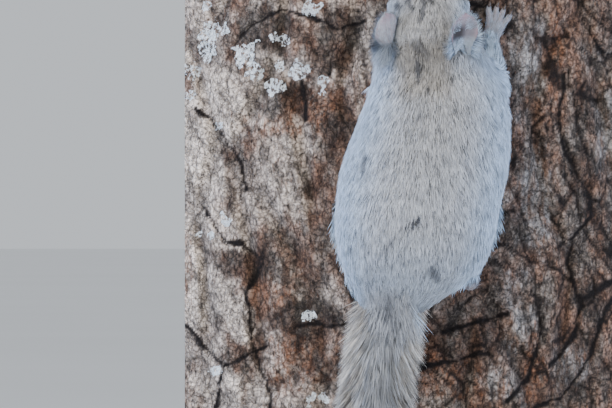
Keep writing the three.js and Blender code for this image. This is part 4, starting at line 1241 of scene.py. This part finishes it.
class SQUIRREL_OT_ears(bpy.types.Operator):
    """Makes both ears as thin cups with a fine pelt on the back and a pale fringe inside"""

    bl_idname = "squirrel.ears"
    bl_label = "Ears"

    def execute(self, context):
        looks = context.scene.squirrel_coat
        random = np.random.default_rng(SEED + 2)
        skin = ear_material(context.scene.squirrel_skin)
        pelt = fur_material("ear_down", looks, looks.belly, 0.15)
        for name, ear in EARS.items():
            node = f"ear_{name}"
            mesh = remeshed(node, [node_arrays(node)], 0.02, 0.32, 8)
            root = in_head(*ear["root"])
            lean = unit(np.array(ear["lean"]) @ HEAD_AXES)
            opening = np.array(ear["opening"]) @ HEAD_AXES
            opening = unit(opening - lean * (opening @ lean))
            axes = (root, lean, opening, np.cross(lean, opening))
            form = surface(mesh)
            places = self.cup(mesh, form, axes)
            placed(f"{node}_cup", mesh, skin, (node,))
            self.down(f"{node}_down", form, axes, places, pelt, random)
            self.fringe(f"{node}_fringe", axes, pelt, random)
        return {"FINISHED"}

    def cup(self, mesh, form, axes):
        """Marks an ear's skin, and says how far along it, inside it and in its hollow each vertex is."""
        points, normals, _ = form
        root, lean, opening, across = axes
        along, sideways = (points - root) @ lean, (points - root) @ across
        inner = smooth(normals @ opening, -0.1, 0.35)
        rim = smooth(np.maximum(np.abs(sideways) / EAR["half_width"], along / EAR["length"]), 0.7, 1.0)
        hollow = inner * (1 - rim)
        medial = smooth(-sideways * np.sign(opening @ HEAD_AXES[1]), -3, 1)
        shade = hollow * mix(0.3, 1.0, medial) * within((along, 13, 8), (along, 2, 5))
        # Inner skin, rim, painted shade in the hollow, and a painted root shadow at the ear's foot
        attribute(mesh, "ear", np.stack((inner, rim, shade, smooth(along, 6, 2)), 1))
        return along, inner, hollow

    def down(self, name, form, axes, places, pelt, random):
        """Fine hair on an ear's back, longer inside it and round its foot."""
        root, lean, opening, across = axes
        along, inner, hollow = places
        foot = smooth(along, mix(5.0, 8.0, inner), mix(1.0, 3.0, inner))
        density = mix(10.0, 9.0, inner) * (1 - 0.35 * hollow) + 10 * foot
        roots, facing, corner, weights = scattered(*form, density, random)
        inside, climbed = carried(inner, corner, weights), carried(along, corner, weights)
        outward = across * np.sign((roots - root) @ across)[:, None]
        lies = lean + outward * mix(0.15, 0.8, inside)[:, None] - np.outer(inside, opening) * 0.25
        lies = along_surface(lies, facing)
        high = smooth(climbed, 3, 15)
        back = mix(EAR_HAIR["back"], EAR_HAIR["tip"], high)
        front = mix(EAR_HAIR["inside"], EAR_HAIR["inside_tip"], high)
        low = smooth(climbed, mix(5.0, 7.5, inside), mix(1.0, 3.0, inside))
        length = mix(varied(mix(back, front, inside), 0.3, random), EAR_HAIR["foot"], low)
        skirt = unit(roots - root - lean * ((roots - root) @ lean)[:, None] - lean * 1.6)
        lies = unit(mix(lies, skirt, low[:, None]))
        width = mix(mix(0.22, 0.15, inside), 0.28, low)
        pale = random.random(len(roots))
        flank_and_sky_blue = np.maximum(0.25 + 0.35 * pale, inside)
        belly = 0.5 * inside * pale * (1 - low)
        spots = np.stack((flank_and_sky_blue, np.full_like(pale, 0.1), np.full_like(pale, 0.14), belly), 1)
        uv = unwrapped(roots, root, root + lean * 18, (0.05, 0.05, 0.9, 0.9))
        lift = np.radians(16)
        made = tufts(name, roots, facing, lies, length, width, lift, spots, uv, 0.2, (), random, 0.1)
        placed(name, made, pelt)

    def fringe(self, name, axes, pelt, random):
        """Pale hair that rises from the head over the foot of an ear's opening."""
        root, lean, opening, across = axes
        count = FRINGE["count"]
        aside = (random.random(count) - 0.5) * FRINGE["across"]
        ahead = 0.6 + 2.8 * random.random(count)
        below = 0.5 + 0.06 * aside**2
        starts = root + np.outer(aside, across) + np.outer(ahead, opening) - np.outer(below, lean)
        skin = bpy.data.objects["skin"].data
        tree = BVHTree.FromPolygons([v.co / MM for v in skin.vertices], [p.vertices for p in skin.polygons])
        hits = [tree.find_nearest(start) for start in starts.tolist()]
        roots = np.array([hit[0] for hit in hits])
        facing = np.array([hit[1] for hit in hits])
        lies = lean * 0.9 + opening * 0.35 - np.outer(aside / 9, across)
        lies = along_surface(lies + random.normal(0, 0.12, (count, 3)), facing, 0.5)
        length = varied(np.full(count, FRINGE["length"]), 0.375, random)
        pale = random.random(count)
        spots = np.stack((np.full(count, 0.9), 0 * pale, 0.25 * (pale < 0.2), 0.3 * pale), 1)
        uv = unwrapped(roots, root, root + lean * 18, (0.05, 0.05, 0.9, 0.9))
        widths = np.full(count, FRINGE["width"])
        lift = np.radians(24)
        made = tufts(name, roots, facing, lies, length, widths, lift, spots, uv, 0.3, (0.5,), random, 0.2)
        placed(name, made, pelt)


class SQUIRREL_OT_eyes(bpy.types.Operator):
    """Sets both eyes in their sockets and rims them with dark lids"""

    bl_idname = "squirrel.eyes"
    bl_label = "Eyes and lids"

    def execute(self, context):
        looks = context.scene.squirrel_skin
        wet = cornea_material(looks)
        rim = thin_skin_material("dark_lid", looks.lid, 0.35)
        for side, name in ((-1, "left"), (1, "right")):
            centre, look = eye_frame(side)
            forward = unit(HEAD_AXES[0] - look * (HEAD_AXES[0] @ look))
            across = np.cross(look, forward)
            rows, columns = 24, 40
            tilt = np.linspace(0.02, np.pi - 0.02, rows)
            turn = np.linspace(0, 2 * np.pi, columns, endpoint=False)
            rings = []
            for t in tilt:
                bulge = 1 + 0.06 * max(math.cos(t), 0) ** 4
                plane = np.outer(np.cos(turn), forward) + np.outer(np.sin(turn), across)
                rings.append(centre + EYE["radius"] * (look * math.cos(t) * bulge + plane * math.sin(t)))
            ball = mesh_from(f"eyeball_{name}", *loft(rings[::-1]))
            placed(f"eyeball_{name}", ball, wet, (f"eye_{name}",))
            placed(f"eyelids_{name}", self.lids(centre, look, forward, across), rim)
        return {"FINISHED"}

    def lids(self, centre, look, forward, across):
        """One closed rim round the eye, pointed a little at its front and back corners."""
        around = np.linspace(0, 2 * np.pi, 64, endpoint=False)
        section = np.linspace(0, 2 * np.pi, 10, endpoint=False)
        rings = []
        for a in around:
            corner = abs(math.cos(a)) ** 6
            radius = LID["radius"] + LID["corner"] * corner
            out = forward * math.cos(a) + across * math.sin(a)
            height = math.sqrt(max((EYE["radius"] + LID["over"]) ** 2 - radius**2, 4.0)) - 0.1 * corner
            middle = centre + out * radius + look * height
            normal = unit(out * radius + look * height)
            along = np.cross(normal, np.cross(look, out))
            thick, wide = np.outer(np.cos(section), normal), np.outer(np.sin(section), along)
            rings.append(middle + LID["thick"] * thick + LID["wide"] * wide)
        return mesh_from("eyelids", *loft(rings, looped=True))


class SQUIRREL_OT_nose(bpy.types.Operator):
    """Makes the nose with its nostrils, and the whiskers"""

    bl_idname = "squirrel.nose"
    bl_label = "Nose and whiskers"

    def execute(self, context):
        looks = context.scene.squirrel_skin
        mesh = remeshed("nose_tip", [node_arrays("nose")], 0.02, 0.16, 6)
        placed("nose_tip", mesh, thin_skin_material("nose_skin", looks.nose, 0.3), ("nose",))
        random = np.random.default_rng(SEED + 3)
        hairs = []
        for side in (-1, 1):
            for number in range(14):
                row, place = divmod(number, 4)
                root = in_head(28 - place * 1.5, side * (5.4 + place * 0.9 - row * 0.2), -1.5 - row * 1.5)
                length = mix(20, 38, place / 3) * mix(0.85, 1.1, random.random())
                out = np.array((0.25 - 0.16 * place, side * 1.0, 0.25 - 0.16 * row)) @ HEAD_AXES
                end = root + unit(out + random.normal(0, 0.05, 3)) * length
                end[1] = min(end[1], face_y(end[0]) - 3)
                bend = (root + end) / 2 + HEAD_AXES[0] * length * 0.1
                hairs.append(tube((root, bend, end), (0.16, 0.11, 0.03), sides=5, steps=12, ends=()))
        horn = horn_material("whisker_hair", linear("2A2422"))
        placed("whiskers", mesh_from("whiskers", *joined(hairs)), horn)
        return {"FINISHED"}


def paw_parts(name):
    """Palm and toes as one form's tubes, and the claws as others."""
    limb, kind = LIMBS[name], PAWS[name[:3]]
    start, tips = np.array(limb["wrist"], float), np.array(limb["tips"], float)
    heading = unit(np.array((tips[0] - start[0], 0, tips[2] - start[2])))
    reach = math.hypot(tips[0] - start[0], tips[2] - start[2])
    across = np.array((heading[2], 0, -heading[0]))

    def place(along, aside, height):
        """A point on the way to the toes, in mm."""
        flat = start + heading * along + across * aside
        return over(flat[0], height, flat[2])

    palm = kind["palm"]
    flesh = [
        tube(
            (place(-2, 0, start[1]), place(palm / 2, 0, 3.0), place(palm, 0, 2.3)),
            (kind["wrist"] * 0.95, 3.2, 3.7), flat=0.62, sides=20,
        )
    ]
    claws = []
    for toe in range(kind["toes"]):
        share = toe / (kind["toes"] - 1) - 0.5
        aside = kind["spread"] * share
        root = palm - 0.5 - 4 * abs(share) ** 1.5
        end = mix(palm, reach, 1 - 0.55 * abs(share + 0.08) ** 1.5)
        path = (
            place(root - 1.5, aside * 0.52, 2), place((root + end) / 2, aside * 0.82, 3.3),
            place(end, aside * 1.12, 1.6),
        )
        flesh.append(tube(path, (1.3, 1.0, 1.15, 1.0), sides=14, steps=14))
        pad = (place(end - 1.6, aside * 1.1, 1.3), place(end - 0.2, aside * 1.12, 1.2))
        flesh.append(tube(pad, (0.95, 0.9), sides=12, steps=6))
        hook = (
            place(end + 0.2, aside * 1.12, 2.0), place(end + 2.0, aside * 1.16, 2.0),
            place(end + 3.2, aside * 1.18, 0.6),
        )
        claws.append(tube(hook, (0.62, 0.5, 0.08), sides=10, steps=12, flat=1.25, ends=(60,)))
    return flesh, claws


def triangulated(faces):
    """Faces of any number of corners as triangles."""
    return np.array([(f[0], f[i], f[i + 1]) for f in faces for i in range(1, len(f) - 1)])


class SQUIRREL_OT_paws(bpy.types.Operator):
    """Makes hands and feet with their toes, pads, short hair and claws"""

    bl_idname = "squirrel.paws"
    bl_label = "Hands, feet and claws"

    def execute(self, context):
        looks = context.scene.squirrel_coat
        skin = thin_skin_material("paw_skin", context.scene.squirrel_skin.foot)
        horn = horn_material("claw_horn", context.scene.squirrel_skin.claw)
        down = fur_material("paw_down", looks, looks.belly, 0.15)
        random = np.random.default_rng(SEED + 4)
        for name, limb in LIMBS.items():
            node = f"{name}_{'hand' if name.startswith('arm') else 'foot'}"
            flesh, claws = paw_parts(name)
            mesh = remeshed(node, [(p, triangulated(f)) for p, f in flesh], 0.0, 0.3, 5)
            placed(f"{node}_flesh", mesh, skin, (node,))
            placed(f"{node}_claws", mesh_from(f"{node}_claws", *joined(claws)), horn)
            self.down(f"{node}_down", surface(mesh), over(*limb["wrist"]), over(*limb["tips"]), down, random)
        return {"FINISHED"}

    def down(self, name, form, start, end, material, random):
        """Short hair on the back of a hand or foot, thinner and shorter towards the toes."""
        points, normals, _ = form
        lean, reach = unit(end - start), np.linalg.norm(end - start)
        beyond = (points - start) @ lean / reach
        upper = smooth(-normals[:, 1], -0.35, 0.25)
        density = PAW_HAIR["density"] * upper * (1 - 0.5 * smooth(beyond, 0.7, 1.0))
        roots, facing, _, _ = scattered(*form, density, random)
        count = len(roots)
        lies = unit(lean - facing * (facing @ lean)[:, None])
        far = smooth((roots - start) @ lean / reach, 0.1, 0.9)
        length = varied(mix(PAW_HAIR["wrist_length"], PAW_HAIR["toe_length"], far), 0.3, random)
        widths = np.full(count, PAW_HAIR["width"])
        flank_and_sky_blue, warm, belly = np.outer((0.7, 0.15, 0.15), np.ones(count))
        spots = np.stack((flank_and_sky_blue, warm, 0.3 + 0.1 * far, belly), 1)
        uv = unwrapped(roots, start, end, (0.05, 0.05, 0.9, 0.9))
        lift = np.radians(18)
        made = tufts(name, roots, facing, lies, length, widths, lift, spots, uv, 0.2, (), random, 0.1)
        placed(name, made, material)


# Perch and stand


def cell_points(i, j):
    """A repeatable pair of numbers from 0 to 1 for each plate's cell."""
    first = np.sin(i * 127.1 + j * 311.7) * 43758.5453
    second = np.sin(i * 269.5 + j * 183.3) * 43758.5453
    return first - np.floor(first), second - np.floor(second)


def plates(x, z, width, height):
    """How far each place is from the crack between plates of a size, and a tone for each plate."""
    px, pz = x / width, z / height
    ci, cj = np.floor(px), np.floor(pz)
    nearest = np.full(x.shape, 9.0)
    second = np.full(x.shape, 9.0)
    tone = np.zeros(x.shape)
    for di in (-1, 0, 1):
        for dj in (-1, 0, 1):
            i, j = ci + di, cj + dj
            dx, dz = cell_points(i, j)
            far = np.hypot(i + dx - px, j + dz - pz)
            closer = far < nearest
            second = np.where(closer, nearest, np.minimum(second, far))
            tone = np.where(closer, dx, tone)
            nearest = np.where(closer, far, nearest)
    return second - nearest, tone


def fractal(x, z, size, octaves=4):
    """Soft noise from 0 to 1 with spots of a size and finer ones on them."""
    total, whole, weight = 0, 0, 1
    for octave in range(octaves):
        px, pz = x / size + 17.3 * octave, z / size + 31.7 * octave
        i, j = np.floor(px), np.floor(pz)
        fx, fz = smooth(px - i, 0, 1), smooth(pz - j, 0, 1)
        low = mix(cell_points(i, j)[0], cell_points(i + 1, j)[0], fx)
        high = mix(cell_points(i, j + 1)[0], cell_points(i + 1, j + 1)[0], fx)
        total, whole, weight = total + weight * mix(low, high, fz), whole + weight, weight * 0.58
        size /= 2.1
    return total / whole


def resting(x, z):
    """1 where the animal rests on the bark, fading to 0 round it."""
    up = np.clip(z - TAIL_ROOT_Z, -7, 104)
    middle, half = spine(up + TAIL_ROOT_Z)
    beyond = np.hypot(np.maximum(np.abs(x - middle) - half + 3, 0), z - TAIL_ROOT_Z - up)
    for limb in LIMBS.values():
        centre = ((limb["tips"][0] + limb["wrist"][0]) / 2, (limb["tips"][2] + limb["wrist"][2]) / 2)
        beyond = np.minimum(beyond, np.hypot(x - centre[0], z - centre[1]) - 13)
    return 1 - smooth(beyond, 0, 12)


# Greatest depths of the bark's forms in mm, and the share that is left of them under the animal
BARK = {
    "valley": 3.6, "wave": 1.4, "plate_gap": 0.55, "plate": 0.35, "scale_gap": 0.3, "scale": 0.2,
    "fissure": 0.8, "grain": 0.6, "under_animal": 0.16,
}
# Main cracks of the bark as x, z along each in mm
FISSURES = (
    ((-63.2, 174.2), (-67.2, 167), (-69.6, 161), (-68, 151), (-66.4, 140.2), (-60, 118), (-64, 96)),
    ((-61.6, 139.4), (-71.2, 135), (-78.4, 131.4), (-81.2, 121), (-84, 108), (-80, 88)),
    ((-96, 150.2), (-90, 142.2), (-78.4, 131.4)),
    ((-50, 147.4), (-40, 149), (-28, 148.2)),
    ((-87.6, 196.2), (-79.2, 183), (-71.2, 181), (-63.2, 175)),
    ((-36.4, 258), (-36.4, 249)),
    ((-47.2, 246.2), (-45.2, 239), (-46, 231)),
    ((-74, 262), (-68, 269), (-56, 275.8), (-46, 274.2), (-32, 267.8), (-22, 271)),
    ((-90, 236), (-82, 229), (-72, 214), (-70, 203)),
    ((59.2, 249), (56.8, 237), (58, 223), (64, 209), (69.2, 201), (70, 193), (62, 183)),
    ((62, 183), (60, 173), (63.2, 164.2)),
    ((63.2, 164.2), (65.2, 159), (72, 162.2), (77, 166.2), (90, 172)),
    ((65.2, 159), (64, 146.2), (60, 140.2), (53, 131)),
    ((80, 160), (76.8, 156.2), (70, 139), (66, 131), (57.2, 119), (48, 115.8), (38, 108)),
    ((8.8, 145.8), (19.2, 149), (34.8, 153)),
    ((0, 131.8), (11.6, 134.2), (19.2, 136.2), (28, 137.8)),
    ((48.8, 153), (49.6, 149), (44, 126), (36, 118)),
    ((69.2, 270), (69.2, 266.2), (73.2, 260.2), (80, 256), (84, 240)),
    ((19.4, 278.5), (32, 275)),
    ((10, 100), (22, 92), (30, 74), (28, 56)),
    ((-30, 110), (-36, 92), (-30, 70), (-38, 50)),
    ((60, 100), (70, 84), (68, 62), (76, 48)),
)
# White crusts of lichen: x, z, radius
CRUSTS = (
    (-85.6, 278.2, 3), (-43.6, 276, 3.4), (-84.4, 266.6, 5.5), (-86.4, 258.6, 3.4), (-58.4, 264.6, 2.6),
    (-54, 263.4, 2.2), (-70, 260, 4), (-72, 256, 2.4), (-92, 251.4, 4.4), (-65.2, 250.6, 3.6),
    (-58.4, 245, 3.6), (-50, 251, 3.4), (-56.4, 252.6, 2), (-45.2, 251.4, 2), (-38, 247, 2.2),
    (-38.4, 242.2, 1.6), (-81.2, 229, 1.6), (-93.2, 242.2, 2.4), (-89.6, 185, 2), (-84, 184.6, 1.8),
    (-78, 191, 2.6), (-44.4, 152.2, 2.6), (-43.6, 119, 2.4), (-39, 118.6, 2.2), (-82.4, 129.4, 1.8),
    (-60, 88, 3), (-20, 300, 3.6), (-72, 302, 4.6), (40, 76, 2.4),
)
# Patches of the bark as x, z, half width, half height: pale flaking, dark, warm inner bark, silver
PALE = (
    (-77, 236, 13, 15), (-88, 212, 10, 22), (-93, 175, 7, 30), (-84, 160, 12, 12), (-80, 118, 14, 12),
    (-66, 119, 12, 8), (-72, 150, 8, 8), (-70, 80, 16, 20), (-60, 292, 16, 9),
)
DARK = (
    (-60, 268, 24, 9), (-36, 262, 9, 16), (-52, 240, 13, 6), (-34, 230, 8, 14), (-48, 151, 20, 10),
    (-30, 132, 12, 12), (-70, 172, 14, 5), (20, 140, 16, 10), (66, 220, 6, 26), (72, 150, 8, 16),
    (40, 110, 20, 6), (-40, 210, 8, 12),
)
WARM = (
    (-57, 161, 9, 7), (-50, 128, 12, 7), (-42, 238, 8, 10), (-95, 168, 2.5, 12), (-58, 229, 14, 4),
    (-52, 140, 10, 5), (8, 128, 16, 8), (46, 130, 4, 14), (55, 258, 4, 18),
)
SILVER = (
    (40, 150, 7, 16), (46, 200, 9, 22), (44, 255, 9, 18), (60, 132, 8, 8), (76, 230, 6, 20),
    (34, 124, 10, 8),
)


def patches(x, z, spots, ragged, size):
    """1 inside the spots, fading to 0 beyond their ragged edges."""
    strength = np.zeros(x.shape)
    uneven = (fractal(x, z * 0.7, size, 5) - 0.5) * ragged
    for cx, cz, width, height in spots:
        far = np.hypot((x - cx) / width, (z - cz) / height) + uneven
        strength = np.maximum(strength, 1 - smooth(far, 0.6, 1.25))
    return strength


def fissure_distance(x, z):
    """Distance from the main cracks, drawn ragged and uneven in width."""
    ragged_x = x + 3.2 * (fractal(x, z, 6) - 0.5)
    ragged_z = z + 3.2 * (fractal(z + 50, x, 6) - 0.5)
    places = np.stack((ragged_x.ravel(), ragged_z.ravel()), 1)
    near = np.minimum.reduce([near_path(places, line) for line in FISSURES])
    return near.reshape(x.shape) / mix(0.6, 1.9, smooth(fractal(x + 90, z, 8, 3), 0.3, 0.7))


def bark_relief(x, z):
    """Depth under the bark's envelope in mm, and what its colours are worked out from."""
    large, _ = plates(x + 5 * np.sin(z / 31), z + 6 * np.sin(x / 23), 25, 64)
    lean_x, lean_z = x + z * 0.35 + 3 * np.sin(z / 7), z - x * 0.2 + 2 * np.sin(x / 5)
    small, small_tone = plates(lean_x, lean_z, 8.5, 19)
    fine, fine_tone = plates(x + z * 0.2 + 0.8 * np.sin(z / 2.3), z + 0.8 * np.sin(x / 1.9), 2.9, 5.2)
    grain = fractal(x + 0.3 * z, z * 0.45, 3.4, 5)
    near = fissure_distance(x, z)
    pale = patches(x, z, PALE, 2.4, 9)
    silver = patches(x, z, SILVER, 2.2, 7)
    dark = patches(x, z, DARK, 2.4, 7)
    warm = patches(x, z, WARM, 2.6, 5)
    crusts = patches(x, z, [(cx, cz, radius, radius) for cx, cz, radius in CRUSTS], 2.6, 2.6)
    rough = mix(0.3, 1.0, smooth(x, -45, 30)) * (1 - 0.8 * pale) * (1 - 0.5 * silver)

    wave = 0.5 + 0.25 * np.sin(x / 9 + z / 17) + 0.25 * np.sin(z / 8 - x / 21)
    depth = BARK["valley"] * smooth(large, 0.34, 0) + BARK["wave"] * wave
    depth += rough * (BARK["plate_gap"] * smooth(small, 0.22, 0) + BARK["plate"] * small_tone)
    depth += BARK["scale_gap"] * smooth(fine, 0.3, 0) * mix(0.4, 1, rough) + BARK["scale"] * fine_tone
    depth += BARK["fissure"] * smooth(near, 2.2, 0.3)
    depth += BARK["grain"] * smooth(grain, 0.6, 0.25) * mix(0.5, 1, rough)
    depth *= mix(1.0, BARK["under_animal"], resting(x, z))

    # Painted shade in the fissures, between plates and scales, in the grain's hollows and in the broad
    # valleys
    between_plates = within((small, 0.15, 0.03), (rough, 0.4, 0.9), (grain, 0.8, 0.5))
    between_scales = within((fine, 0.2, 0.04), (grain, 0.75, 0.45)) * mix(0.45, 1, rough)
    crack_shade = np.maximum.reduce((
        smooth(near, 1.2, 0.4), 0.95 * between_plates, 0.7 * between_scales, 0.75 * smooth(grain, 0.42, 0.2),
        0.45 * smooth(large, 0.2, 0.0),
    ))
    scattered_pale = 0.7 * smooth(x, 10, -50) * smooth(fractal(x, z * 0.6, 12, 5), 0.4, 0.6)
    pale = np.maximum(pale * (1 - 0.7 * dark), (1 - dark) * scattered_pale)
    tones = 0.5 * small_tone + 0.25 * fine_tone + 0.25 * smooth(grain, 0.3, 0.7)
    tones = mix(tones, 0.35 * tones - 0.1, dark)
    shade = np.stack((crack_shade, pale, crusts, np.ones_like(x)), -1)
    tint = np.stack((warm, tones, silver, np.ones_like(x)), -1)
    return depth, shade, tint


class SQUIRREL_OT_perch(bpy.types.Operator):
    """Makes the slab of trunk: plated bark in front, sawn wood at its back and ends"""

    bl_idname = "squirrel.perch"
    bl_label = "Perch"

    def execute(self, context):
        looks = context.scene.squirrel_perch
        cell = looks.cell / MM
        columns = int(2 * TRUNK["half"] / cell)
        rows = int((TRUNK["high"] - TRUNK["low"]) / cell)
        heights = np.linspace(TRUNK["low"], TRUNK["high"], rows + 1)
        x, z = np.meshgrid(np.linspace(-TRUNK["half"], TRUNK["half"], columns + 1), heights)
        depth, shade, tint = bark_relief(x, z)
        front = np.stack((x, face_y(x) + depth, z), -1).reshape(-1, 3)
        right = np.stack((np.full(rows + 1, TRUNK["half"]), np.full(rows + 1, TRUNK["back"]), heights), 1)
        vertices = np.concatenate((front, right, right * (-1, 1, 1)))
        bark_faces, wood_faces = self.faces(rows, columns)
        mesh = mesh_from("trunk_slab", vertices, bark_faces + wood_faces)
        mesh.materials.append(bark_material(looks))
        mesh.materials.append(sawn_wood_material(looks))
        kinds = [0] * len(bark_faces) + [1] * len(wood_faces)
        mesh.polygons.foreach_set("material_index", kinds)
        mesh.polygons.foreach_set("use_smooth", [kind == 0 for kind in kinds])
        for name, values in (("relief", shade), ("patch", tint)):
            colours = np.zeros((len(vertices), 4))
            colours[: len(front)] = values.reshape(-1, 4)
            attribute(mesh, name, colours)
        placed("trunk_slab", mesh, None, ("perch_trunk",))
        return {"FINISHED"}

    def faces(self, rows, columns):
        """The bark's faces row by row, and those of the sides, the back and both ends."""
        across = columns + 1
        right = (rows + 1) * across
        left = right + rows + 1
        bark, wood = [], []
        for r in range(rows):
            a = r * across
            bark += [(a + c, a + c + 1, a + c + 1 + across, a + c + across) for c in range(columns)]
            end = a + columns
            wood.append((end, right + r, right + r + 1, end + across))
            wood.append((left + r, a, a + across, left + r + 1))
            wood.append((right + r, left + r, left + r + 1, right + r + 1))
        wood.append((*range(columns, -1, -1), left, right))
        top = rows * across
        wood.append((*range(top, top + across), right + rows, left + rows))
        return bark, wood


class SQUIRREL_OT_stand(bpy.types.Operator):
    """Makes the walnut base and the two steel rods"""

    bl_idname = "squirrel.stand"
    bl_label = "Stand"

    def execute(self, context):
        low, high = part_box("stand_base")
        corner, edge = 12 * MM, 1.5 * MM
        outline = []
        for sx, sy, start in ((1, 1, 0), (-1, 1, 90), (-1, -1, 180), (1, -1, 270)):
            for step in range(13):
                angle = math.radians(start + step * 7.5)
                outline.append((sx, sy, math.cos(angle), math.sin(angle)))
        rings = []
        levels = [(0.0, 0)]
        levels += [(1 - math.cos(math.radians(a)), a) for a in (18, 36, 54, 72, 90)]
        profile = [(edge * (1 - math.sin(math.radians(a))), low.z + edge * rise) for rise, a in levels]
        profile += [(inset, high.z - (z - low.z)) for inset, z in profile[::-1]]
        for inset, z in profile:
            ring = []
            for sx, sy, cos, sin in outline:
                cx, cy = sx * (high.x - corner), sy * (high.y - corner)
                ring.append((cx + cos * (corner - inset), cy + sin * (corner - inset), z))
            rings.append(np.array(ring) / MM)
        base = mesh_from("display_base", *loft(rings))
        walnut = walnut_material(context.scene.squirrel_perch)
        placed("display_base", base, walnut, ("stand_base",))
        steel = steel_material()
        for name in ("left", "right"):
            node = f"stand_rod_{name}"
            low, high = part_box(node)
            centre = (low + high) / 2
            radius = (high.x - low.x) / 2
            bevel = 0.4 * MM
            turn = np.linspace(0, 2 * np.pi, 64, endpoint=False)
            rings = []
            for inset, z in ((bevel, low.z), (0, low.z + bevel), (0, high.z - bevel), (bevel, high.z)):
                x = centre.x + (radius - inset) * np.cos(turn)
                y = centre.y + (radius - inset) * np.sin(turn)
                rings.append(np.stack((x, y, np.full_like(x, z)), 1) / MM)
            mesh = mesh_from(f"rod_{name}", *loft(rings))
            mesh.polygons.foreach_set("use_smooth", [abs(face.normal.z) < 0.5 for face in mesh.polygons])
            placed(f"rod_{name}", mesh, steel, (node,))
        return {"FINISHED"}


# Soft square lights: place and side in m, power and colour
LIGHTS = {
    "key": {"place": (-0.7, -1.3, 1.3), "size": 1.1, "watts": 40, "colour": "FFFBF5"},
    "fill": {"place": (1.4, -1.0, 0.7), "size": 1.4, "watts": 18, "colour": "DCE8FF"},
    "sky_left": {"place": (-1.6, -0.25, 0.45), "size": 1.3, "watts": 31, "colour": "90BCFF"},
    "sky_right": {"place": (1.6, -0.15, 0.35), "size": 1.3, "watts": 19, "colour": "94BFFF"},
    "rim": {"place": (0.6, 0.9, 1.2), "size": 0.8, "watts": 14, "colour": "FFFFFF"},
}
# The camera looks at a point in mm from a distance in m, and its picture is so many mm wide a pixel
CAMERA = {"target": (-45.6, -20, 197.4), "distance": 3.0, "pixels": 612, "mm_per_pixel": 0.4}
# Half the floor's side in mm
FLOOR_REACH = 30000


class SQUIRREL_OT_stage(bpy.types.Operator):
    """Sets the floor, the soft lights and the camera"""

    bl_idname = "squirrel.stage"
    bl_label = "Stage"

    def execute(self, context):
        scene = context.scene
        points = [(x * FLOOR_REACH, y * FLOOR_REACH, 0) for x, y in ((-1, -1), (1, -1), (1, 1), (-1, 1))]
        floor = bpy.data.objects.new("floor", mesh_from("floor", points, [(0, 1, 2, 3)]))
        floor.data.materials.append(plain_floor_material())
        scene.collection.objects.link(floor)
        target = Vector(CAMERA["target"]) * MM
        for name, light in LIGHTS.items():
            self.light(name, light, target)
        world = bpy.data.worlds.new("studio")
        world.use_nodes = True
        world.node_tree.nodes["Background"].inputs["Color"].default_value = linear("DDE2E8")
        world.node_tree.nodes["Background"].inputs["Strength"].default_value = 0.9
        scene.world = world
        camera = bpy.data.cameras.new("camera")
        view_width = CAMERA["pixels"] * CAMERA["mm_per_pixel"] * MM
        camera.sensor_width = 36
        camera.lens = camera.sensor_width * CAMERA["distance"] / view_width
        camera.clip_start, camera.clip_end = 0.1, 100
        eye = bpy.data.objects.new("camera", camera)
        eye.location = target + Vector((0, -CAMERA["distance"], 0))
        eye.rotation_euler = (math.pi / 2, 0, 0)
        scene.collection.objects.link(eye)
        scene.camera = eye
        return {"FINISHED"}

    def light(self, name, light, target):
        """A square soft light that looks at the target."""
        lamp = bpy.data.lights.new(name, "AREA")
        lamp.shape = "SQUARE"
        lamp.size = light["size"]
        lamp.energy = light["watts"]
        lamp.color = linear(light["colour"])[:3]
        made = bpy.data.objects.new(name, lamp)
        made.location = light["place"]
        made.rotation_euler = (target - made.location).to_track_quat("-Z", "Y").to_euler()
        bpy.context.scene.collection.objects.link(made)


STEPS = (
    SQUIRREL_OT_skin, SQUIRREL_OT_coat, SQUIRREL_OT_tail, SQUIRREL_OT_ears, SQUIRREL_OT_eyes,
    SQUIRREL_OT_nose, SQUIRREL_OT_paws, SQUIRREL_OT_perch, SQUIRREL_OT_stand, SQUIRREL_OT_stage,
)


class SQUIRREL_PT_panel(bpy.types.Panel):
    """Lists the looks and the steps"""

    bl_label = "Flying squirrel"
    bl_idname = "SQUIRREL_PT_panel"
    bl_space_type = "VIEW_3D"
    bl_region_type = "UI"
    bl_category = "Squirrel"

    def draw(self, context):
        for group in ("squirrel_coat", "squirrel_skin", "squirrel_perch"):
            looks = getattr(context.scene, group)
            box = self.layout.box()
            for name in looks.__annotations__:
                box.prop(looks, name)
        for step in STEPS:
            self.layout.operator(step.bl_idname)


GROUPS = {"squirrel_coat": CoatLooks, "squirrel_skin": SkinLooks, "squirrel_perch": PerchLooks}


def register():
    for kind in (*GROUPS.values(), *STEPS, SQUIRREL_PT_panel):
        bpy.utils.register_class(kind)
    for name, kind in GROUPS.items():
        setattr(bpy.types.Scene, name, bpy.props.PointerProperty(type=kind))


def unregister():
    for name in GROUPS:
        delattr(bpy.types.Scene, name)
    for kind in (SQUIRREL_PT_panel, *STEPS[::-1], *GROUPS.values()):
        bpy.utils.unregister_class(kind)


def main():
    register()
    for step in STEPS:
        group, name = step.bl_idname.split(".")
        getattr(getattr(bpy.ops, group), name)()


if __name__ == "__main__":
    main()
